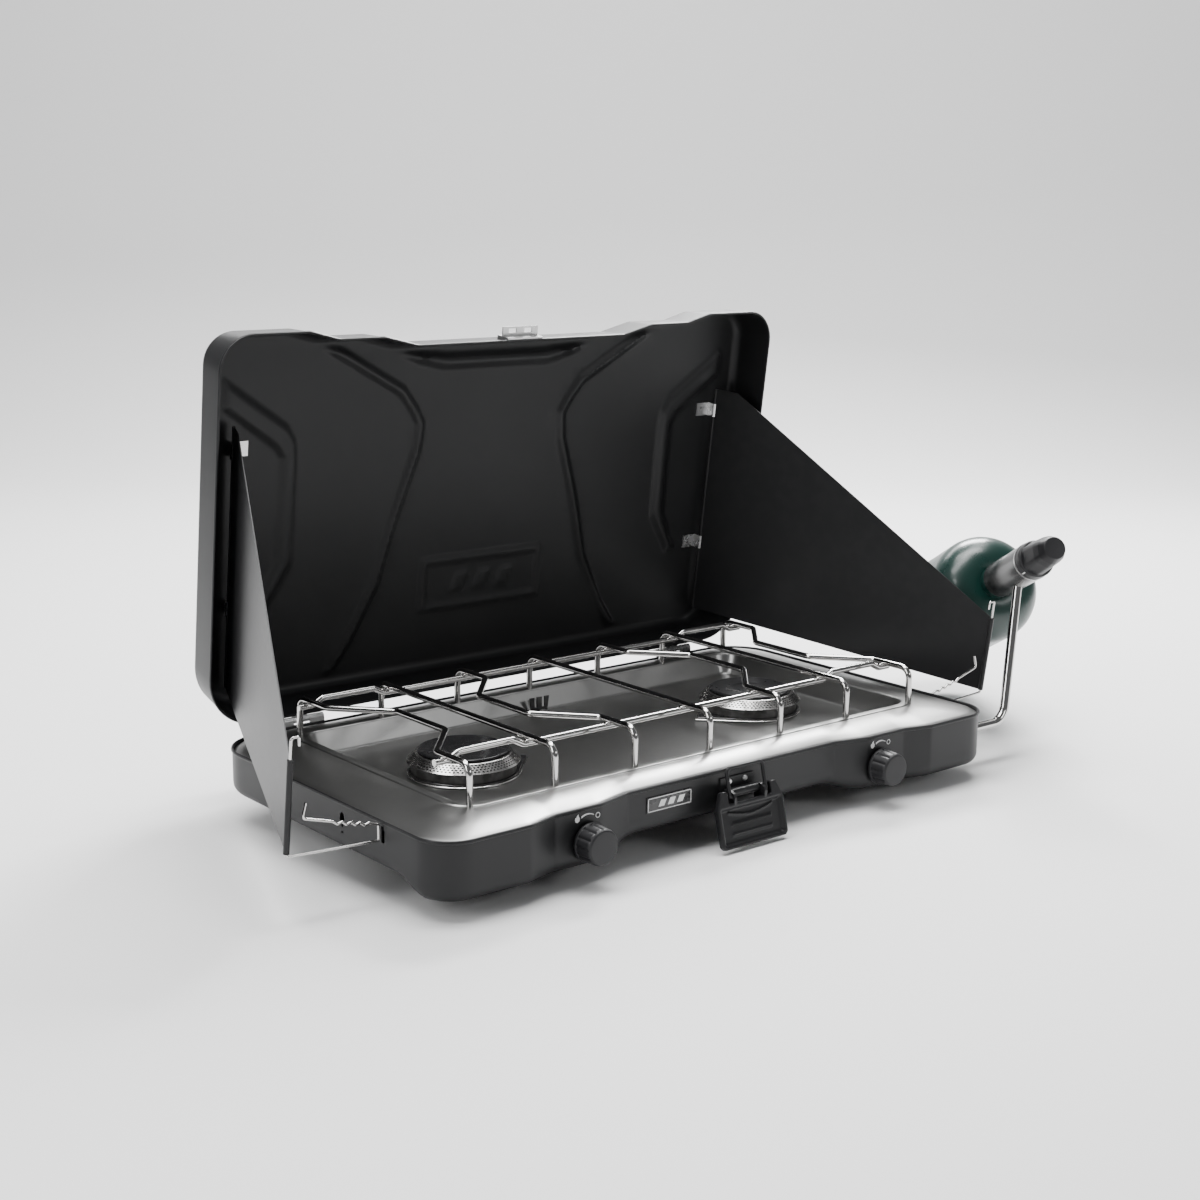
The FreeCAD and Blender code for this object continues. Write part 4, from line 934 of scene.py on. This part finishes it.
for name, y in RAILS:
    low = TOP - 4.8
    side_run = [(233.0, low), (221.0, low), (212.0, TOP), (164.0, TOP), (155.0, low)]
    line = [Vector((-x, y, z)) for x, z in side_run] + [Vector((x, y, z)) for x, z in reversed(side_run)]
    bm = bmesh.new()
    sweep(bm, wire_path(line, [5.0] * 8, 8), WIRE, 24)
    finish_piece("grate rail " + name, bm, nickel, "grate", "grate_%s_rail" % name)


# ---------------------------------------------------------------- gas cylinder
# The gas cylinder is a throwaway bottle of thin drawn steel in two halves, joined by a seam round its middle.
# Its round shoulder carries the threaded neck that screws into the regulator.
r = 49.3
green_enamel = finish_of("green enamel", (0.003, 0.024, 0.019), 0.26, 0.34, worn=(0.2, 0.22, 0.21),
                         amount=0.15, relief=0.01, coat=0.12)
body = [(0.0, 12.0), (12.0, 11.0), (15.0, 10.6), (16.5, 10.4)]
body += [(16.5 + (r - 16.5) * math.sin(t), 40.0 - 29.6 * math.cos(t)) for t in quarter(8)[1:]]
body += [(r, h) for h in (42.0, 60.0, 80.0, 97.0, 98.6)]
body += [(r + 0.15, 98.9), (r + 0.15, 101.1)]
body += [(r, h) for h in (101.4, 103.0, 130.0, 160.0, 184.0, 186.0)]
body += [(r - 14 * (1 - math.cos(t)), 186.0 + 16.6 * math.sin(t)) for t in quarter(6)[1:]]
body += [(31.0, 200.0), (20.0, 196.0), (0.0, 194.0)]


def join(bm, other):
    """Adds another drawing to a drawing."""
    mesh = bpy.data.meshes.new("joined")
    other.to_mesh(mesh)
    bm.from_mesh(mesh)
    other.free()


bm = spin(body, mouth, away, 96)
neck = rounded([(3.8, 0.2), (3.8, -10.8), (12.4, -10.8), (12.4, 0.4), (15.0, 0.6), (15.0, 10.8)], 0.4)
join(bm, spin(neck, mouth, away, 64))
finish_piece("gas bottle", bm, green_enamel, "cylinder", "gas_cylinder", smooth=50)


# ---------------------------------------------------------------- hinge rivets
# Each hinge leaf on the back of the case is held by two steel rivets, set from outside.
# Each head is a low dome that stands on the leaf.
zinc = finish_of("zinc plate", (0.56, 0.56, 0.56), 0.24, 0.36, metal=1.0, worn=(0.6, 0.6, 0.6),
                 amount=0.1, relief=0.02)
head = [(3.1, 0.02), (3.0, 0.35), (2.4, 0.9), (1.2, 1.2), (0.0, 1.25)]
bm = bmesh.new()
for x in (-213.0, -187.0, 187.0, 213.0):
    join(bm, spin(head, (x, 158.2, 43.6), (0, 1, 0), 32))
finish_piece("hinge rivet heads", bm, zinc, "base")


# ---------------------------------------------------------------- plain hardware
# The valves, stems, brackets, screws, feet, screens, clips and the regulator's housing keep their shapes.
# They are brass, plated or coated steel, painted castings and rubber.
brass = finish_of("brass", (0.62, 0.45, 0.18), 0.25, 0.4, metal=1.0, worn=(0.8, 0.65, 0.3), relief=0.05)
regulator_paint = finish_of("regulator paint", (0.010, 0.010, 0.011), 0.16, 0.22, worn=(0.2, 0.19, 0.18),
                            amount=0.1, relief=0.01, specular=0.4)
rubber = finish_of("rubber", (0.02, 0.02, 0.02), 0.7, 0.85, worn=(0.08, 0.08, 0.08), grain="moulded",
                   relief=0.3)
finishes = {
    "powder_coated_steel": powder_coat, "drip_pan_steel": rolled_steel, "bright_steel": nickel,
    "plated_steel": zinc, "burner_iron": burner_iron, "burner_enamel": enamel, "stainless": stainless,
    "brass": brass, "knob_plastic": knob_plastic, "latch_plastic": latch_plastic,
    "regulator_black": regulator_paint, "rubber": rubber, "cylinder_green": green_enamel,
    "badge_plate": badge,
}
slots = {s["node"]: s["material_slot"] for s in frame["record"]["subparts"]}
for name, node in frame["nodes"].items():
    node.data.materials.clear()
    node.data.materials.append(finishes[slots[name]])


# ---------------------------------------------------------------- floor
# A pale sheet of studio card lies flat under the stove, and curves up behind it to a tall backdrop.
# It is only stage: it isn't part of the stove.
card = bpy.data.materials.new("floor")
card.use_nodes = True
card_shader = card.node_tree.nodes["Principled BSDF"]
card_shader.inputs["Base Color"].default_value = (0.86, 0.86, 0.86, 1)
card_shader.inputs["Roughness"].default_value = 0.7
yaw, pitch, roll = math.radians(-39.301), math.radians(-12.026), math.radians(0.473)
away_from_lens = Vector((-math.sin(yaw), math.cos(yaw), 0))
across = Vector((math.cos(yaw), math.sin(yaw), 0))
bm = bmesh.new()
section = [(-7.0, 0.0), (1.6, 0.0)]
section += [(1.6 + 1.5 * math.sin(t), 1.5 - 1.5 * math.cos(t)) for t in quarter(24)[1:]]
section.append((3.1, 6.0))
add_rings(bm, [[away_from_lens * d + across * w + Vector((0, 0, h - 0.0005)) for d, h in section]
               for w in (-9, 9)], closed=False)
mesh = bpy.data.meshes.new("floor")
bmesh.ops.recalc_face_normals(bm, faces=bm.faces)
bm.to_mesh(mesh)
bm.free()
mesh.shade_smooth()
floor = bpy.data.objects.new("floor", mesh)
bpy.context.scene.collection.objects.link(floor)
mesh.materials.append(card)


# ---------------------------------------------------------------- light
# The room is dim, so that the black steel stays black, and softboxes give the bright metal its highlights.
# The one behind the right side lights the pan, and the last one lights the card itself.
world = bpy.data.worlds.new("studio")
bpy.context.scene.world = world
world.use_nodes = True
world.node_tree.nodes["Background"].inputs["Color"].default_value = (0.97, 0.98, 1.0, 1)
world.node_tree.nodes["Background"].inputs["Strength"].default_value = 0.17


def softbox(name, at, target, wide, high, power):
    """A rectangular lamp in metres and watts, turned towards a target."""
    light = bpy.data.lights.new(name, "AREA")
    light.shape = "RECTANGLE"
    light.size = wide
    light.size_y = high
    light.energy = power
    lamp = bpy.data.objects.new(name, light)
    lamp.location = at
    lamp.rotation_euler = (Vector(target) - Vector(at)).to_track_quat("-Z", "Y").to_euler()
    bpy.context.scene.collection.objects.link(lamp)


softbox("overhead left", (-0.55, 0.1, 1.7), (-0.3, 0.0, 0.1), 0.5, 1.3, 22)
softbox("overhead right", (0.55, 0.1, 1.7), (0.3, 0.0, 0.1), 0.5, 1.3, 14)
softbox("right behind", (1.2, 0.85, 1.32), (0.05, -0.13, 0.06), 0.75, 0.5, 60)
softbox("behind", (0.9, 1.5, 1.5), (0, 0, 0.1), 1.6, 0.5, 22)
softbox("left", (-2.0, -0.2, 1.1), (0, 0, 0.15), 0.5, 1.3, 20)
softbox("front", (0.9, -2.2, 1.2), (0, 0, 0.1), 1.2, 0.4, 9)
softbox("card wash", (0.2, 0.4, 3.2), (1.8, 2.1, 0.8), 2.4, 1.2, 110)


# ---------------------------------------------------------------- camera
# It stands in front of the stove, to its left, and looks slightly down.
# Its roll is the small tilt of the horizon.
camera = bpy.data.objects.new("camera", bpy.data.cameras.new("camera"))
bpy.context.scene.collection.objects.link(camera)
bpy.context.scene.camera = camera
camera.data.sensor_width = 36.0
camera.data.lens = 57.43
camera.data.clip_start = 0.05
forward = Vector((-math.sin(yaw) * math.cos(pitch), math.cos(yaw) * math.cos(pitch), math.sin(pitch)))
right = forward.cross(Vector((0, 0, 1))).normalized()
up = right.cross(forward)
rolled_right = right * math.cos(roll) + up * math.sin(roll)
rolled_up = up * math.cos(roll) - right * math.sin(roll)
turn = Matrix((rolled_right, rolled_up, -forward)).transposed().to_4x4()
camera.matrix_world = Matrix.Translation((-0.959265, -1.149376, 0.480208)) @ turn
